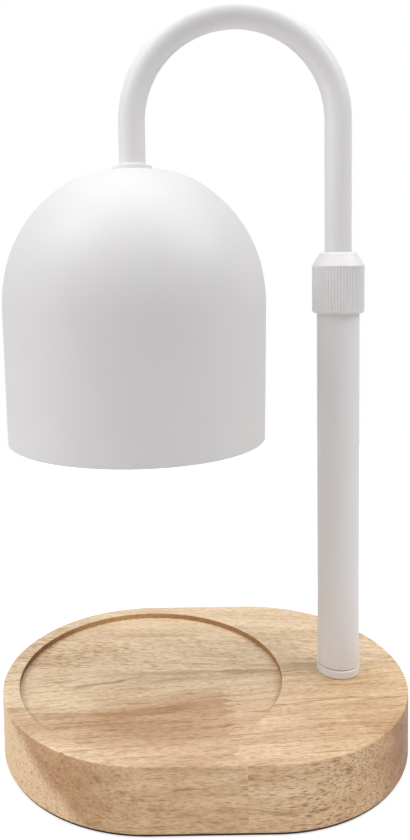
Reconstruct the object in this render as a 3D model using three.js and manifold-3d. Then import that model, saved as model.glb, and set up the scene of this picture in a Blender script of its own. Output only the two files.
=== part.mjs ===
// A table-top lamp that warms a scented candle from above: a wooden board with a shallow round
// recess, a telescopic post with a knurled locking collar, a hooked tube and a dome shade that
// holds a spot bulb. Millimetres, +Z up. The origin is the centre of the underside, +X points
// from the recess towards the post, and -Y is the front.

import * as THREE from "three";
import { mergeVertices } from "three/addons/utils/BufferGeometryUtils.js";
import Module from "manifold-3d";

const wasm = await Module();
wasm.setup();

// Clearances and helpers that every group shares
const overrun = 1; // how far a cutter reaches past the face that it cuts
const runningGap = 0.2; // radial play of a piece that slides or turns in another
const fitGap = 0.15; // radial play of a piece that is pressed or screwed in
const facingGap = 0.3; // space between two ends that face each other
const mergeDistance = 1e-4; // vertices nearer than this are one vertex

// Board: two round ends joined by straight sides, on a dark foam pad
const boardEndRadius = 68.5;
const boardStraight = 49.5;
const boardTop = 29;
const boardEdgeRound = 0.9;
const padThickness = 1;
const padInset = 0.8;
const recessMargin = 7.5; // wood left between the recess and the round end
const recessDepth = 2.8;

// Wiring pocket milled in the board's underside, below the post
const postToEnd = 29.8; // from the post's axis to the board's end
const pocketEndWall = 9.8; // wood between the pocket and the board's end
const pocketRoofWood = 8.3; // wood between the pocket and the board's top
const coverLedge = 6;
const coverThickness = 1.5;
const coverScrewCount = 3;
const coverScrewHeadRadius = 2.4;
const coverScrewHeadDepth = 0.8;
const coverScrewShankRadius = 1.3;
const coverScrewLength = 9;

// Outlet for the power cord, in the end of the board behind the post
const outletHeight = 12;
const outletRadius = 6;
const grommetWall = 2.6;
const grommetFlangeWidth = 1.6;
const grommetFlangeThickness = 1.5;
const grommetFlushDepth = 0.55; // how far the flange lies inside the board's end

// Post, its foot and the hollow stem that bolts it to the board
const postRadius = 9.5;
const postWall = 1;
const postLength = 170.8;
const footRingLip = 0.4; // how far the ring stands proud of the post
const footRingHeight = 3.8;
const footRingRound = 0.6;
const footShadowGap = 0.4; // the narrow dark line above the foot ring
const footShadowInset = 0.6;
const footPlugHeight = 17.6;
const stemRadius = 5;
const stemTopMargin = 2; // how far the stem's end stays below the top of the foot plug
const washerThickness = 1.5;
const washerWidth = 7;
const lockWasherThickness = 1;
const lockWasherWidth = 3.5;
const lockWasherSlit = 1.2;
const stemNutWall = 3;
const stemNutHeight = 4.5;
const stemEndBelowNut = 0.5;

// Locking collar, its collet and the bush that carries them
const collarSkirt = 6.7; // how far the collar reaches down over the post
const collarKnurlHeight = 21.6;
const collarConeHeight = 6;
const collarWall = 2.15; // from the post's outside to the tips of the ribs
const collarShoulderWidth = 2;
const collarShoulderRound = 0.7;
const collarFootRound = 1.5;
const collarPlainBand = 0.6; // smooth band between the ribs and the cone
const ribCount = 56;
const ribDepth = 0.4;
const ribMouthShare = 0.46; // half the groove's mouth, as a share of the pitch
const bushDepth = 12;
const bushNeckStep = 0.4;
const bushNeckBelowCone = 5.9;
const colletHeight = 5;
const colletTopWall = 1.1;
const colletSlits = 4;
const colletSlitWidth = 1;
const colletSlitFloor = 1.2;

// Hooked tube
const tubeRadius = 6;
const tubeWall = 1;
const bendRadius = 46.3; // centre line; twice this is the reach from the post to the shade
const hookLegLength = 18.2; // the short leg, from the bend to the tube's end
const liftTravel = 45; // from the photographed height to the highest
const liftStopGap = 0.5;
const dropTravel = 58; // from the photographed height to the lowest
const dropStopGap = 1.3;
const guideHeight = 12;
const guideRetainerHeight = 2;
const guideRetainerInset = 0.4;
const tubePlugFlange = 2;
const tubePlugDepth = 8;

// Shade and the stack that clamps it to the tube's end
const shadeHeight = 121;
const shadeSkirtHeight = 59.8;
const shadeRadius = 59.3;
const shadeRimInset = 0.9;
const shadeFlatDrop = 3.6; // how far the flat top lies below the dome's full curve
const shadeWall = 1.2;
const crownWidthPower = 1.105; // exponents of the dome's curve
const crownHeightPower = 0.913;
const flangeRadius = 8.9;
const flangeThickness = 1.75;
const flangeRound = 0.5;
const tubeStep = 1.45; // the bright ring at the tube's end
const nippleRadius = 5;
const nipplePlugDepth = 10;
const nippleEndBelowNut = 1.4;
const innerWasherWidth = 5;
const innerWasherThickness = 1.2;
const shadeNutWall = 2;
const shadeNutHeight = 5;

// Bracket and lamp holder
const bracketSheet = 1.2;
const bracketWidth = 12;
const bracketLegRoom = 2.3;
const bracketDrop = 17.6; // from the underside of the bracket's plate to the holder
const bracketFootMargin = 0.4;
const holderRadius = 13.5;
const holderHeight = 17;
const holderScrewEdge = 3.8; // from the screw's axis to the holder's rim
const holderScrewRadius = 1.5;
const holderScrewHeadRadius = 2.8;
const holderScrewHeadHeight = 2;
const holderScrewDepth = 9;
const holderScrewHoleExtra = 1;
const terminalRadius = 1.3;
const terminalDepth = 4;
const holderPlate = 3; // thickness of the face that the pin heads lock behind
const pinChamberRoom = 1.2;

// Bulb: a spot bulb with two pins that push in and twist to lock
const bulbRadius = 25;
const bulbLength = 46.5;
const bulbWall = 1.4;
const bulbLipHeight = 3;
const bulbLensThickness = 2;
const bulbNeckRadius = 10.5;
const bulbBaseLip = 1;
const bulbBaseHeight = 12;
const pinSpread = 5;
const pinNeckRadius = 1.5;
const pinHeadRadius = 2.4;
const pinHeadLength = 3.4;
const pinLift = 0.1; // play between a locked pin's head and the holder's plate
const bulbTwist = THREE.MathUtils.degToRad(35);
const capsuleRadius = 4.5;
const capsuleLength = 20;

// Inner lead, from the board's outlet to the lamp holder
const leadRadius = 1.8;
const leadGap = 0.4;
const leadFloorGap = 1;
const leadIntoGrommet = 2.5;
const leadPastStem = 3;
const leadPastTubePlug = 3;
const leadInsideNipple = 1.5;
const slackSway = 3.6;
const slackWaves = 2;
const coreRadius = 0.8;

// Numbers of flat faces round a full turn
const wideSides = 48;
const roundSides = 32;
const tubeSides = 24;
const innerSides = 20;
const smallSides = 12;
const leadSides = 8;
const crownSteps = 8;
const bendSteps = 22;
const slackSteps = 32;
const curveSteps = 8;

// Places that follow from the sizes above: the board and the post
const boardEnd = boardStraight / 2 + boardEndRadius;
const recessRadius = boardEndRadius - recessMargin;
const postOffset = boardEnd - postToEnd;
const pocketRadius = postToEnd - pocketEndWall;
const pocketRoof = boardTop - pocketRoofWood;
const coverRadius = pocketRadius + coverLedge;
const coverTop = padThickness + coverThickness;
const coverScrewCircle = pocketRadius + coverLedge / 2;
const grommetFlangeRadius = outletRadius + grommetFlangeWidth;
const grommetFace = boardEnd - grommetFlushDepth;
const grommetSeat = grommetFace - grommetFlangeThickness;
const postBore = postRadius - postWall;
const footRingRadius = postRadius + footRingLip;
const footRingTop = boardTop + footRingHeight;
const postFoot = footRingTop + footShadowGap;
const postTop = postFoot + postLength;
const stemBore = stemRadius + runningGap;
const stemTop = postFoot + footPlugHeight - stemTopMargin;
const washerBottom = pocketRoof - washerThickness;
const lockWasherBottom = washerBottom - lockWasherThickness;
const lockWasherRadius = stemRadius + lockWasherWidth;
const stemNutBottom = lockWasherBottom - stemNutHeight;
const stemBottom = stemNutBottom - stemEndBelowNut;

// The collar, the hook and what slides in the post
const collarBottom = postTop - collarSkirt;
const collarKnurlTop = collarBottom + collarKnurlHeight;
const collarTop = collarKnurlTop + collarConeHeight;
const collarRadius = postRadius + collarWall;
const bushBottom = postTop - bushDepth;
const bushNeckRadius = postBore - bushNeckStep;
const bushNeckTop = collarKnurlTop - bushNeckBelowCone;
const colletTop = bushNeckTop + colletHeight;
const colletTopRadius = tubeRadius + colletTopWall;
const tubeBore = tubeRadius - tubeWall;
const bendCentre = collarTop + dropTravel + dropStopGap;
const retainerTop = bushBottom - liftTravel - liftStopGap;
const retainerRadius = postBore - guideRetainerInset;
const guideTop = retainerTop - guideRetainerHeight;
const tubeFoot = guideTop - guideHeight;
const tubePlugBottom = tubeFoot - tubePlugFlange;

// The shade and what hangs in it
const shadeOffset = postOffset - 2 * bendRadius;
const tubeEnd = bendCentre - hookLegLength;
const flangeTop = tubeEnd - tubeStep;
const shadeTop = flangeTop - flangeThickness;
const shadeRim = shadeTop - shadeHeight;
const shadeSpring = shadeRim + shadeSkirtHeight;
const shadeCrownHeight = shadeTop - shadeSpring + shadeFlatDrop;
const nippleBore = nippleRadius + runningGap;
const innerWasherTop = shadeTop - shadeWall;
const innerWasherBottom = innerWasherTop - innerWasherThickness;
const bracketPlateBottom = innerWasherBottom - bracketSheet;
const shadeNutBottom = bracketPlateBottom - shadeNutHeight;
const nippleEnd = shadeNutBottom - nippleEndBelowNut;
const holderTop = bracketPlateBottom - bracketDrop;
const holderBottom = holderTop - holderHeight;
const holderScrewOffset = holderRadius - holderScrewEdge;
const bracketInside = holderScrewOffset + holderScrewHeadRadius + bracketLegRoom;
const pinNeckLength = facingGap + holderPlate + pinLift;
const pinChamberHeight = pinHeadLength + pinChamberRoom;
const bulbTop = holderBottom - facingGap;
const bulbFront = bulbTop - bulbLength;
const bulbBaseBottom = bulbTop - bulbBaseHeight;
const bulbSpigot = bulbNeckRadius - bulbWall - fitGap;

// The lead
const leadBore = leadRadius + leadGap;
const leadLowest = coverTop + leadFloorGap + leadRadius;
const leadTop = nippleEnd + leadInsideNipple;
const slackBottom = stemTop + leadPastStem + facingGap;
const slackTop = tubePlugBottom - leadPastTubePlug - facingGap;

// Finishes
const finish = (color, roughness, metalness = 0) =>
  new THREE.MeshStandardMaterial({ color, roughness, metalness });
const whitePaint = finish(0xf0eeee, 0.5);
const paleWood = finish(0xdcb98c, 0.6);
const darkFoam = finish(0x2b2a29, 0.95);
const blackRubber = finish(0x1d1d1d, 0.8);
const zincSteel = finish(0xb9bcc0, 0.35, 1);
const brass = finish(0xc9a55a, 0.35, 1);
const greyPlastic = finish(0x8d8f92, 0.6);
const paleNylon = finish(0xe9e6dc, 0.5);
const whiteCeramic = finish(0xf2efe8, 0.4);
const mirrorGlass = finish(0xd5d8db, 0.12, 1);
const clearGlass = finish(0xeaf2f4, 0.05);
const siliconeSleeve = finish(0xe6e2d8, 0.7);

// A closed geometry as a solid that can be joined or cut
function solidOf(geometry) {
  const bare = geometry.index ? geometry.toNonIndexed() : geometry.clone();
  bare.deleteAttribute("normal");
  bare.deleteAttribute("uv");
  const merged = mergeVertices(bare, mergeDistance);
  return new wasm.Manifold(
    new wasm.Mesh({
      numProp: 3,
      vertProperties: merged.attributes.position.array,
      triVerts: new Uint32Array(merged.index.array),
    }),
  );
}

function geometryOf(solid) {
  const mesh = solid.getMesh();
  const geometry = new THREE.BufferGeometry();
  geometry.setAttribute("position", new THREE.BufferAttribute(mesh.vertProperties, 3));
  geometry.setIndex(new THREE.BufferAttribute(mesh.triVerts, 1));
  return geometry;
}

function cut(geometry, ...cutters) {
  const start = solidOf(geometry);
  return geometryOf(cutters.reduce((left, cutter) => left.subtract(solidOf(cutter)), start));
}

function join(geometry, ...others) {
  const start = solidOf(geometry);
  return geometryOf(others.reduce((whole, other) => whole.add(solidOf(other)), start));
}

// An outline of [radius, height] points, turned about the Z axis; it closes on itself
function turned(outline, sides = innerSides) {
  const closed = [...outline, outline[0]];
  const points = closed.map(([radius, height]) => new THREE.Vector2(radius, height));
  return new THREE.LatheGeometry(points, sides).rotateX(Math.PI / 2);
}

function ring(inner, outer, bottom, top, sides = innerSides) {
  return turned([[inner, bottom], [outer, bottom], [outer, top], [inner, top]], sides);
}

function rod(radius, bottom, top, sides = innerSides) {
  const cylinder = new THREE.CylinderGeometry(radius, radius, top - bottom, sides);
  return cylinder.rotateX(Math.PI / 2).translate(0, 0, (top + bottom) / 2);
}

function block(width, depth, bottom, top) {
  return new THREE.BoxGeometry(width, depth, top - bottom).translate(0, 0, (top + bottom) / 2);
}

// A round corner in an outline, from one angle to another about a centre
function roundCorner(centreRadius, centreHeight, radius, from, to, steps = 2) {
  return Array.from({ length: steps + 1 }, (_, i) => {
    const angle = from + ((to - from) * i) / steps;
    return [centreRadius + radius * Math.cos(angle), centreHeight + radius * Math.sin(angle)];
  });
}

// Sides are counted round a full circle; an arc takes two steps for each curve segment
function extruded(shape, bottom, top, sides = smallSides) {
  const settings = { depth: top - bottom, bevelEnabled: false, curveSegments: sides / 2 };
  return new THREE.ExtrudeGeometry(shape, settings).translate(0, 0, bottom);
}

function circleHole(radius) {
  return new THREE.Path().absarc(0, 0, radius, 0, 2 * Math.PI, true);
}

function hexNut(wall, bore, bottom, top) {
  const cornerRadius = (bore + wall) / Math.cos(Math.PI / 6);
  const corners = Array.from({ length: 6 }, (_, i) => {
    const angle = (i * Math.PI) / 3;
    return new THREE.Vector2(cornerRadius * Math.cos(angle), cornerRadius * Math.sin(angle));
  });
  const shape = new THREE.Shape(corners);
  shape.holes.push(circleHole(bore));
  return extruded(shape, bottom, top, innerSides);
}

// A tube or wire along a path, hollow where a bore is given
function swept(path, radius, bore, sides, steps) {
  const section = new THREE.Shape().absarc(0, 0, radius, 0, 2 * Math.PI, false);
  if (bore > 0) section.holes.push(circleHole(bore));
  const curveSegments = sides / 2;
  const settings = { steps, extrudePath: path, curveSegments, bevelEnabled: false };
  return new THREE.ExtrudeGeometry(section, settings);
}

// The hook's centre line: up the post's axis, round the bend and down to the shade.
// The steps between its ends go to the bend, and each straight stretch is one step.
class HookLine extends THREE.Curve {
  constructor(start, end) {
    super();
    this.start = start;
    this.end = end;
  }

  getPoint(t) {
    const station = t * (bendSteps + 2);
    if (station < 1) {
      return new THREE.Vector3(0, 0, THREE.MathUtils.lerp(this.start, bendCentre, station));
    }
    const past = station - bendSteps - 1;
    if (past > 0) {
      return new THREE.Vector3(-2 * bendRadius, 0, THREE.MathUtils.lerp(bendCentre, this.end, past));
    }
    const angle = (Math.PI * (station - 1)) / bendSteps;
    const reach = bendRadius * (Math.cos(angle) - 1);
    return new THREE.Vector3(reach, 0, bendCentre + bendRadius * Math.sin(angle));
  }

  getPointAt(t) {
    return this.getPoint(t);
  }

  getTangentAt(t) {
    return this.getTangent(t);
  }
}

function hookSweep(start, end, radius, bore, sides) {
  return swept(new HookLine(start, end), radius, bore, sides, bendSteps + 2);
}

// Scene graph: the board's own frame, and one group for each upright axis
const lamp = new THREE.Group();
const postAxis = new THREE.Group();
const shadeAxis = new THREE.Group();
postAxis.position.set(postOffset, 0, 0);
shadeAxis.position.set(shadeOffset, 0, 0);
lamp.add(postAxis, shadeAxis);

function add(group, name, geometry, material) {
  const mesh = new THREE.Mesh(geometry, material);
  mesh.name = name;
  group.add(mesh);
}

// Board and pad
function stadium(endRadius) {
  const shape = new THREE.Shape();
  const half = boardStraight / 2;
  shape.absarc(half, 0, endRadius, -Math.PI / 2, Math.PI / 2, false);
  shape.absarc(-half, 0, endRadius, Math.PI / 2, (3 * Math.PI) / 2, false);
  return shape;
}

function boardBlank() {
  const settings = {
    depth: boardTop - padThickness - 2 * boardEdgeRound,
    bevelEnabled: true,
    bevelThickness: boardEdgeRound,
    bevelSize: boardEdgeRound,
    bevelOffset: -boardEdgeRound,
    bevelSegments: 2,
    curveSegments: wideSides / 4,
  };
  const blank = new THREE.ExtrudeGeometry(stadium(boardEndRadius), settings);
  return blank.translate(0, 0, padThickness + boardEdgeRound);
}

function coverScrewPlaces() {
  return Array.from({ length: coverScrewCount }, (_, i) => {
    const angle = (Math.PI * (1 + 2 * i)) / coverScrewCount;
    return [coverScrewCircle * Math.cos(angle), coverScrewCircle * Math.sin(angle)];
  });
}

function coverScrewHoles(bottom, top) {
  const hole = () => rod(coverScrewShankRadius + fitGap, bottom, top, smallSides);
  return coverScrewPlaces().map(([x, y]) => hole().translate(x, y, 0));
}

// The outlet's hole and the wider seat of the grommet's flange, along +X
function outletHole() {
  const hole = rod(outletRadius, postOffset + pocketRadius / 2, grommetSeat + overrun);
  const seat = rod(grommetFlangeRadius + facingGap, grommetSeat, boardEnd + overrun);
  return join(hole, seat).rotateY(Math.PI / 2).translate(0, 0, outletHeight);
}

function woodBoard() {
  const below = padThickness - overrun;
  const recess = rod(recessRadius, boardTop - recessDepth, boardTop + overrun, wideSides);
  const underPost = [
    rod(stemBore, padThickness, boardTop + overrun),
    rod(pocketRadius, below, pocketRoof, roundSides),
    rod(coverRadius + facingGap, below, coverTop, roundSides),
    ...coverScrewHoles(padThickness, padThickness + coverScrewLength + overrun),
  ];
  underPost.forEach((tool) => tool.translate(postOffset, 0, 0));
  recess.translate(-boardStraight / 2, 0, 0);
  return cut(boardBlank(), recess, ...underPost, outletHole());
}

function pad() {
  const sheet = extruded(stadium(boardEndRadius - padInset), 0, padThickness, wideSides / 2);
  const window = rod(coverRadius + facingGap, -overrun, padThickness + overrun, roundSides);
  return cut(sheet, window.translate(postOffset, 0, 0));
}

function grommet() {
  const innerFace = postOffset + pocketRadius + fitGap;
  const bore = outletRadius - grommetWall;
  const body = outletRadius - fitGap;
  const outline = [
    [bore, innerFace],
    [body, innerFace],
    [body, grommetSeat],
    [grommetFlangeRadius, grommetSeat],
    [grommetFlangeRadius, grommetFace],
    [bore, grommetFace],
  ];
  return turned(outline).rotateY(Math.PI / 2).translate(0, 0, outletHeight);
}

function pocketCover() {
  const disc = rod(coverRadius, padThickness, coverTop, roundSides);
  return cut(disc, ...coverScrewHoles(padThickness - overrun, coverTop + overrun));
}

function coverScrew() {
  const headBottom = padThickness - coverScrewHeadDepth;
  const tip = padThickness + coverScrewLength;
  const outline = [
    [0, headBottom],
    [coverScrewHeadRadius, headBottom],
    [coverScrewHeadRadius, padThickness],
    [coverScrewShankRadius, padThickness],
    [coverScrewShankRadius, tip - coverScrewShankRadius],
    [0, tip],
  ];
  return turned(outline, smallSides);
}

add(lamp, "wood_base", woodBoard(), paleWood);
add(lamp, "base_pad", pad(), darkFoam);
add(lamp, "cord_grommet", grommet(), blackRubber);
add(postAxis, "pocket_cover", pocketCover(), greyPlastic);
coverScrewPlaces().forEach(([x, y], i) => {
  add(postAxis, `cover_screw_${i + 1}`, coverScrew().translate(x, y, 0), zincSteel);
});

// Post, foot and the bolted stem
function footRing() {
  const cornerRadius = footRingRadius - footRingRound;
  const cornerHeight = footRingTop - footRingRound;
  const outline = [
    [stemBore, boardTop],
    [footRingRadius, boardTop],
    ...roundCorner(cornerRadius, cornerHeight, footRingRound, 0, Math.PI / 2),
    [stemBore, footRingTop],
  ];
  return turned(outline, roundSides);
}

function footPlug() {
  const lip = postRadius - footShadowInset;
  const plug = postBore - fitGap;
  const plugTop = postFoot + footPlugHeight;
  const outline = [
    [stemBore, footRingTop],
    [lip, footRingTop],
    [lip, postFoot],
    [plug, postFoot],
    [plug, plugTop],
    [stemBore, plugTop],
  ];
  return turned(outline);
}

function lockWasher() {
  const washer = ring(stemBore, lockWasherRadius, lockWasherBottom, washerBottom);
  const slitLength = lockWasherRadius + overrun;
  const slitBottom = lockWasherBottom - overrun;
  const slit = block(slitLength, lockWasherSlit, slitBottom, washerBottom + overrun);
  return cut(washer, slit.translate(slitLength / 2, 0, 0));
}

const stem = ring(leadBore, stemRadius, stemBottom, stemTop);
const stemWasher = ring(stemBore, stemRadius + washerWidth, washerBottom, pocketRoof);
const stemNut = hexNut(stemNutWall, stemBore, stemNutBottom, lockWasherBottom);
add(postAxis, "foot_ring", footRing(), whitePaint);
add(postAxis, "post_foot_plug", footPlug(), zincSteel);
add(postAxis, "lower_post", ring(postBore, postRadius, postFoot, postTop, roundSides), whitePaint);
add(postAxis, "base_stem", stem, zincSteel);
add(postAxis, "base_washer", stemWasher, zincSteel);
add(postAxis, "base_lock_washer", lockWasher(), zincSteel);
add(postAxis, "base_nut", stemNut, zincSteel);

// Bush in the post's top, split collet and knurled collar
function postBush() {
  const bore = tubeRadius + runningGap;
  const plug = postBore - fitGap;
  const outline = [
    [bore, bushBottom],
    [plug, bushBottom],
    [plug, postTop],
    [bushNeckRadius, postTop],
    [bushNeckRadius, bushNeckTop],
    [bore, bushNeckTop],
  ];
  return turned(outline);
}

function collet() {
  const bore = tubeRadius + fitGap;
  const baseTop = bushNeckTop + colletSlitFloor;
  const outline = [
    [bore, bushNeckTop],
    [bushNeckRadius, bushNeckTop],
    [bushNeckRadius, baseTop],
    [colletTopRadius, colletTop],
    [bore, colletTop],
  ];
  const reach = bushNeckRadius + colletTopRadius;
  const slits = Array.from({ length: colletSlits }, (_, i) => {
    const slit = block(reach, colletSlitWidth, baseTop, colletTop + overrun);
    return slit.translate(reach / 2, 0, 0).rotateZ((2 * Math.PI * i) / colletSlits);
  });
  return cut(turned(outline), ...slits);
}

// The grooves between the ribs, as one cutter
function ribGrooves() {
  const pitch = (2 * Math.PI) / ribCount;
  const halfMouth = pitch * ribMouthShare;
  const corner = (radius, angle) =>
    new THREE.Vector2(radius * Math.cos(angle), radius * Math.sin(angle));
  const grooves = Array.from({ length: ribCount }, (_, i) => {
    const points = [
      corner(collarRadius - ribDepth, pitch * i),
      corner(collarRadius + ribDepth, pitch * i - halfMouth),
      corner(collarRadius + ribDepth, pitch * i + halfMouth),
    ];
    return new THREE.Shape(points);
  });
  return extruded(grooves, collarBottom + collarFootRound, collarKnurlTop - collarPlainBand);
}

function lockingCollar() {
  const skirtBore = postRadius + facingGap;
  const threadBore = bushNeckRadius + runningGap;
  const tubeHole = tubeRadius + facingGap;
  const seatTop = colletTop + facingGap;
  const skirtTop = postTop + facingGap;
  const footCorner = [collarRadius - collarFootRound, collarBottom + collarFootRound];
  const shoulderRadius = tubeHole + collarShoulderWidth - collarShoulderRound;
  const shoulderCorner = [shoulderRadius, collarTop - collarShoulderRound];
  const outline = [
    [skirtBore, collarBottom],
    ...roundCorner(...footCorner, collarFootRound, -Math.PI / 2, 0),
    [collarRadius, collarKnurlTop],
    ...roundCorner(...shoulderCorner, collarShoulderRound, Math.PI / 6, Math.PI / 2),
    [tubeHole, collarTop],
    [tubeHole, seatTop],
    [colletTopRadius + runningGap, seatTop],
    [threadBore, bushNeckTop + colletSlitFloor],
    [threadBore, skirtTop],
    [skirtBore, skirtTop],
  ];
  return cut(turned(outline, ribCount), ribGrooves());
}

add(postAxis, "post_top_bush", postBush(), brass);
add(postAxis, "clamp_collet", collet(), paleNylon);
add(postAxis, "locking_collar", lockingCollar(), whitePaint);

// Hooked tube and what runs in the post with it
function tubePlug() {
  const plug = tubeBore - fitGap;
  const plugTop = tubeFoot + tubePlugDepth;
  const outline = [
    [leadBore, tubePlugBottom],
    [retainerRadius, tubePlugBottom],
    [retainerRadius, tubeFoot],
    [plug, tubeFoot],
    [plug, plugTop],
    [leadBore, plugTop],
  ];
  return turned(outline);
}

const hookTube = hookSweep(tubeFoot, tubeEnd, tubeRadius, tubeBore, tubeSides);
const guideBush = ring(tubeRadius + runningGap, postBore - runningGap, tubeFoot, guideTop);
const guideRetainer = ring(tubeRadius + fitGap, retainerRadius, guideTop, retainerTop);
add(postAxis, "hook_tube", hookTube, whitePaint);
add(postAxis, "guide_bush", guideBush, paleNylon);
add(postAxis, "guide_retainer", guideRetainer, zincSteel);
add(postAxis, "tube_end_plug", tubePlug(), zincSteel);

// Shade: a dome on a nearly straight skirt, open below. This is the dome's outline, from its
// spring line to where the flat top cuts it.
function crown(inset) {
  const width = shadeRadius - inset;
  const height = shadeCrownHeight - inset;
  const cutHeightShare = (shadeTop - inset - shadeSpring) / height;
  const cutAngle = Math.asin(cutHeightShare ** (1 / crownHeightPower));
  return Array.from({ length: crownSteps + 1 }, (_, i) => {
    const angle = (cutAngle * i) / crownSteps;
    const radius = width * Math.cos(angle) ** crownWidthPower;
    return [radius, shadeSpring + height * Math.sin(angle) ** crownHeightPower];
  });
}

function shade() {
  const rimRadius = shadeRadius - shadeRimInset;
  const outline = [
    [rimRadius, shadeRim],
    ...crown(0),
    [nippleBore, shadeTop],
    [nippleBore, innerWasherTop],
    ...crown(shadeWall).reverse(),
    [rimRadius - shadeWall, shadeRim],
  ];
  return turned(outline, wideSides);
}

function shadeFlange() {
  const cornerRadius = flangeRadius - flangeRound;
  const outline = [
    [nippleBore, shadeTop],
    ...roundCorner(cornerRadius, shadeTop + flangeRound, flangeRound, -Math.PI / 2, 0),
    ...roundCorner(cornerRadius, flangeTop - flangeRound, flangeRound, 0, Math.PI / 2),
    [nippleBore, flangeTop],
  ];
  return turned(outline, tubeSides);
}

// Hollow fitting in the tube's end, with the thread that the shade hangs on
function nipple() {
  const plug = tubeBore - fitGap;
  const plugTop = tubeEnd + nipplePlugDepth;
  const outline = [
    [leadBore, nippleEnd],
    [nippleRadius, nippleEnd],
    [nippleRadius, flangeTop],
    [tubeRadius, flangeTop],
    [tubeRadius, tubeEnd],
    [plug, tubeEnd],
    [plug, plugTop],
    [leadBore, plugTop],
  ];
  return turned(outline, tubeSides);
}

function holderScrewHoles(bottom, top) {
  const hole = () => rod(holderScrewRadius + fitGap, bottom, top, smallSides);
  return [-1, 1].map((side) => hole().translate(0, side * holderScrewOffset, 0));
}

// Bent strap: a plate under the washer, two legs, and two feet that reach inwards.
// The outline gives one half in Y and Z, from the foot's end round to the middle of the plate.
function holderBracket() {
  const outside = bracketInside + bracketSheet;
  const footEnd = holderScrewOffset - holderScrewHeadRadius - bracketFootMargin;
  const footTop = holderTop + bracketSheet;
  const outerHalf = [
    [footEnd, holderTop],
    [outside, holderTop],
    [outside, innerWasherBottom],
  ];
  const innerHalf = [
    [bracketInside, bracketPlateBottom],
    [bracketInside, footTop],
    [footEnd, footTop],
  ];
  const mirrored = (points) => points.map(([y, z]) => [-y, z]).reverse();
  const outline = [...outerHalf, ...mirrored(outerHalf), ...mirrored(innerHalf), ...innerHalf];
  const shape = new THREE.Shape(outline.map(([y, z]) => new THREE.Vector2(y, z)));
  const strap = extruded(shape, -bracketWidth / 2, bracketWidth / 2);
  strap.rotateX(Math.PI / 2).rotateZ(Math.PI / 2);
  const centreHole = rod(nippleBore, bracketPlateBottom - overrun, innerWasherBottom + overrun);
  return cut(strap, centreHole, ...holderScrewHoles(holderTop - overrun, footTop + overrun));
}

const innerWasherRadius = nippleRadius + innerWasherWidth;
const innerWasher = ring(nippleBore, innerWasherRadius, innerWasherBottom, innerWasherTop);
const shadeNut = hexNut(shadeNutWall, nippleBore, shadeNutBottom, bracketPlateBottom);
add(shadeAxis, "shade_flange", shadeFlange(), whitePaint);
add(shadeAxis, "shade", shade(), whitePaint);
add(shadeAxis, "tube_nipple", nipple(), zincSteel);
add(shadeAxis, "inner_washer", innerWasher, zincSteel);
add(shadeAxis, "holder_bracket", holderBracket(), zincSteel);
add(shadeAxis, "shade_nut", shadeNut, zincSteel);

// Lamp holder, with two curved slots that each have a round entry for a pin's head
function arcSlot(halfWidth, from, to, bottom, top) {
  const end = (angle) => [pinSpread * Math.cos(angle), pinSpread * Math.sin(angle)];
  const shape = new THREE.Shape();
  shape.absarc(0, 0, pinSpread + halfWidth, from, to, false);
  shape.absarc(...end(to), halfWidth, to, to + Math.PI, false);
  shape.absarc(0, 0, pinSpread - halfWidth, to, from, true);
  shape.absarc(...end(from), halfWidth, from + Math.PI, from + 2 * Math.PI, false);
  return extruded(shape, bottom, top);
}

function pinSlot(locked) {
  const neckHalf = pinNeckRadius + facingGap;
  const headHalf = pinHeadRadius + facingGap;
  const released = locked - bulbTwist;
  const faceBelow = holderBottom - overrun;
  const chamberFloor = holderBottom + holderPlate;
  const plateCut = chamberFloor + overrun;
  const entry = rod(headHalf, faceBelow, plateCut, smallSides);
  entry.translate(pinSpread * Math.cos(released), pinSpread * Math.sin(released), 0);
  const neckSlot = arcSlot(neckHalf, released, locked, faceBelow, plateCut);
  const chamberTop = chamberFloor + pinChamberHeight;
  return [entry, neckSlot, arcSlot(headHalf, released, locked, chamberFloor, chamberTop)];
}

function lampHolder() {
  const above = holderTop + overrun;
  const terminals = [-1, 1].map((side) => {
    const hole = rod(terminalRadius, holderTop - terminalDepth, above, smallSides);
    return hole.translate(side * pinSpread, 0, 0);
  });
  const screwHoleFloor = holderTop - holderScrewDepth - holderScrewHoleExtra;
  const screwHoles = holderScrewHoles(screwHoleFloor, above);
  const body = rod(holderRadius, holderBottom, holderTop, roundSides);
  return cut(body, ...pinSlot(0), ...pinSlot(Math.PI), ...terminals, ...screwHoles);
}

function holderScrew() {
  const seat = holderTop + bracketSheet;
  const tip = holderTop - holderScrewDepth;
  const headTop = seat + holderScrewHeadHeight;
  const outline = [
    [0, tip],
    [holderScrewRadius, tip],
    [holderScrewRadius, seat],
    [holderScrewHeadRadius, seat],
    [holderScrewHeadRadius, seat + holderScrewHeadHeight / 2],
    [holderScrewRadius, headTop],
    [0, headTop],
  ];
  return turned(outline, smallSides);
}

add(shadeAxis, "lamp_holder", lampHolder(), whiteCeramic);
add(shadeAxis, "holder_screw_front", holderScrew().translate(0, -holderScrewOffset, 0), zincSteel);
add(shadeAxis, "holder_screw_rear", holderScrew().translate(0, holderScrewOffset, 0), zincSteel);

// Bulb: ceramic base with two headed pins, reflector, inner capsule and front glass
function bulbReflector() {
  const lipTop = bulbFront + bulbLipHeight;
  const bowl = (inset) =>
    Array.from({ length: curveSteps + 1 }, (_, i) => {
      const angle = (Math.PI * i) / (2 * curveSteps);
      const spread = (bulbRadius - bulbNeckRadius) * Math.cos(angle);
      const height = (bulbBaseBottom - lipTop) * Math.sin(angle);
      return [bulbNeckRadius + spread - inset, lipTop + height];
    });
  const outline = [
    [bulbRadius - bulbWall, bulbFront],
    [bulbRadius, bulbFront],
    ...bowl(0),
    ...bowl(bulbWall).reverse(),
  ];
  return turned(outline, roundSides);
}

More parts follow.
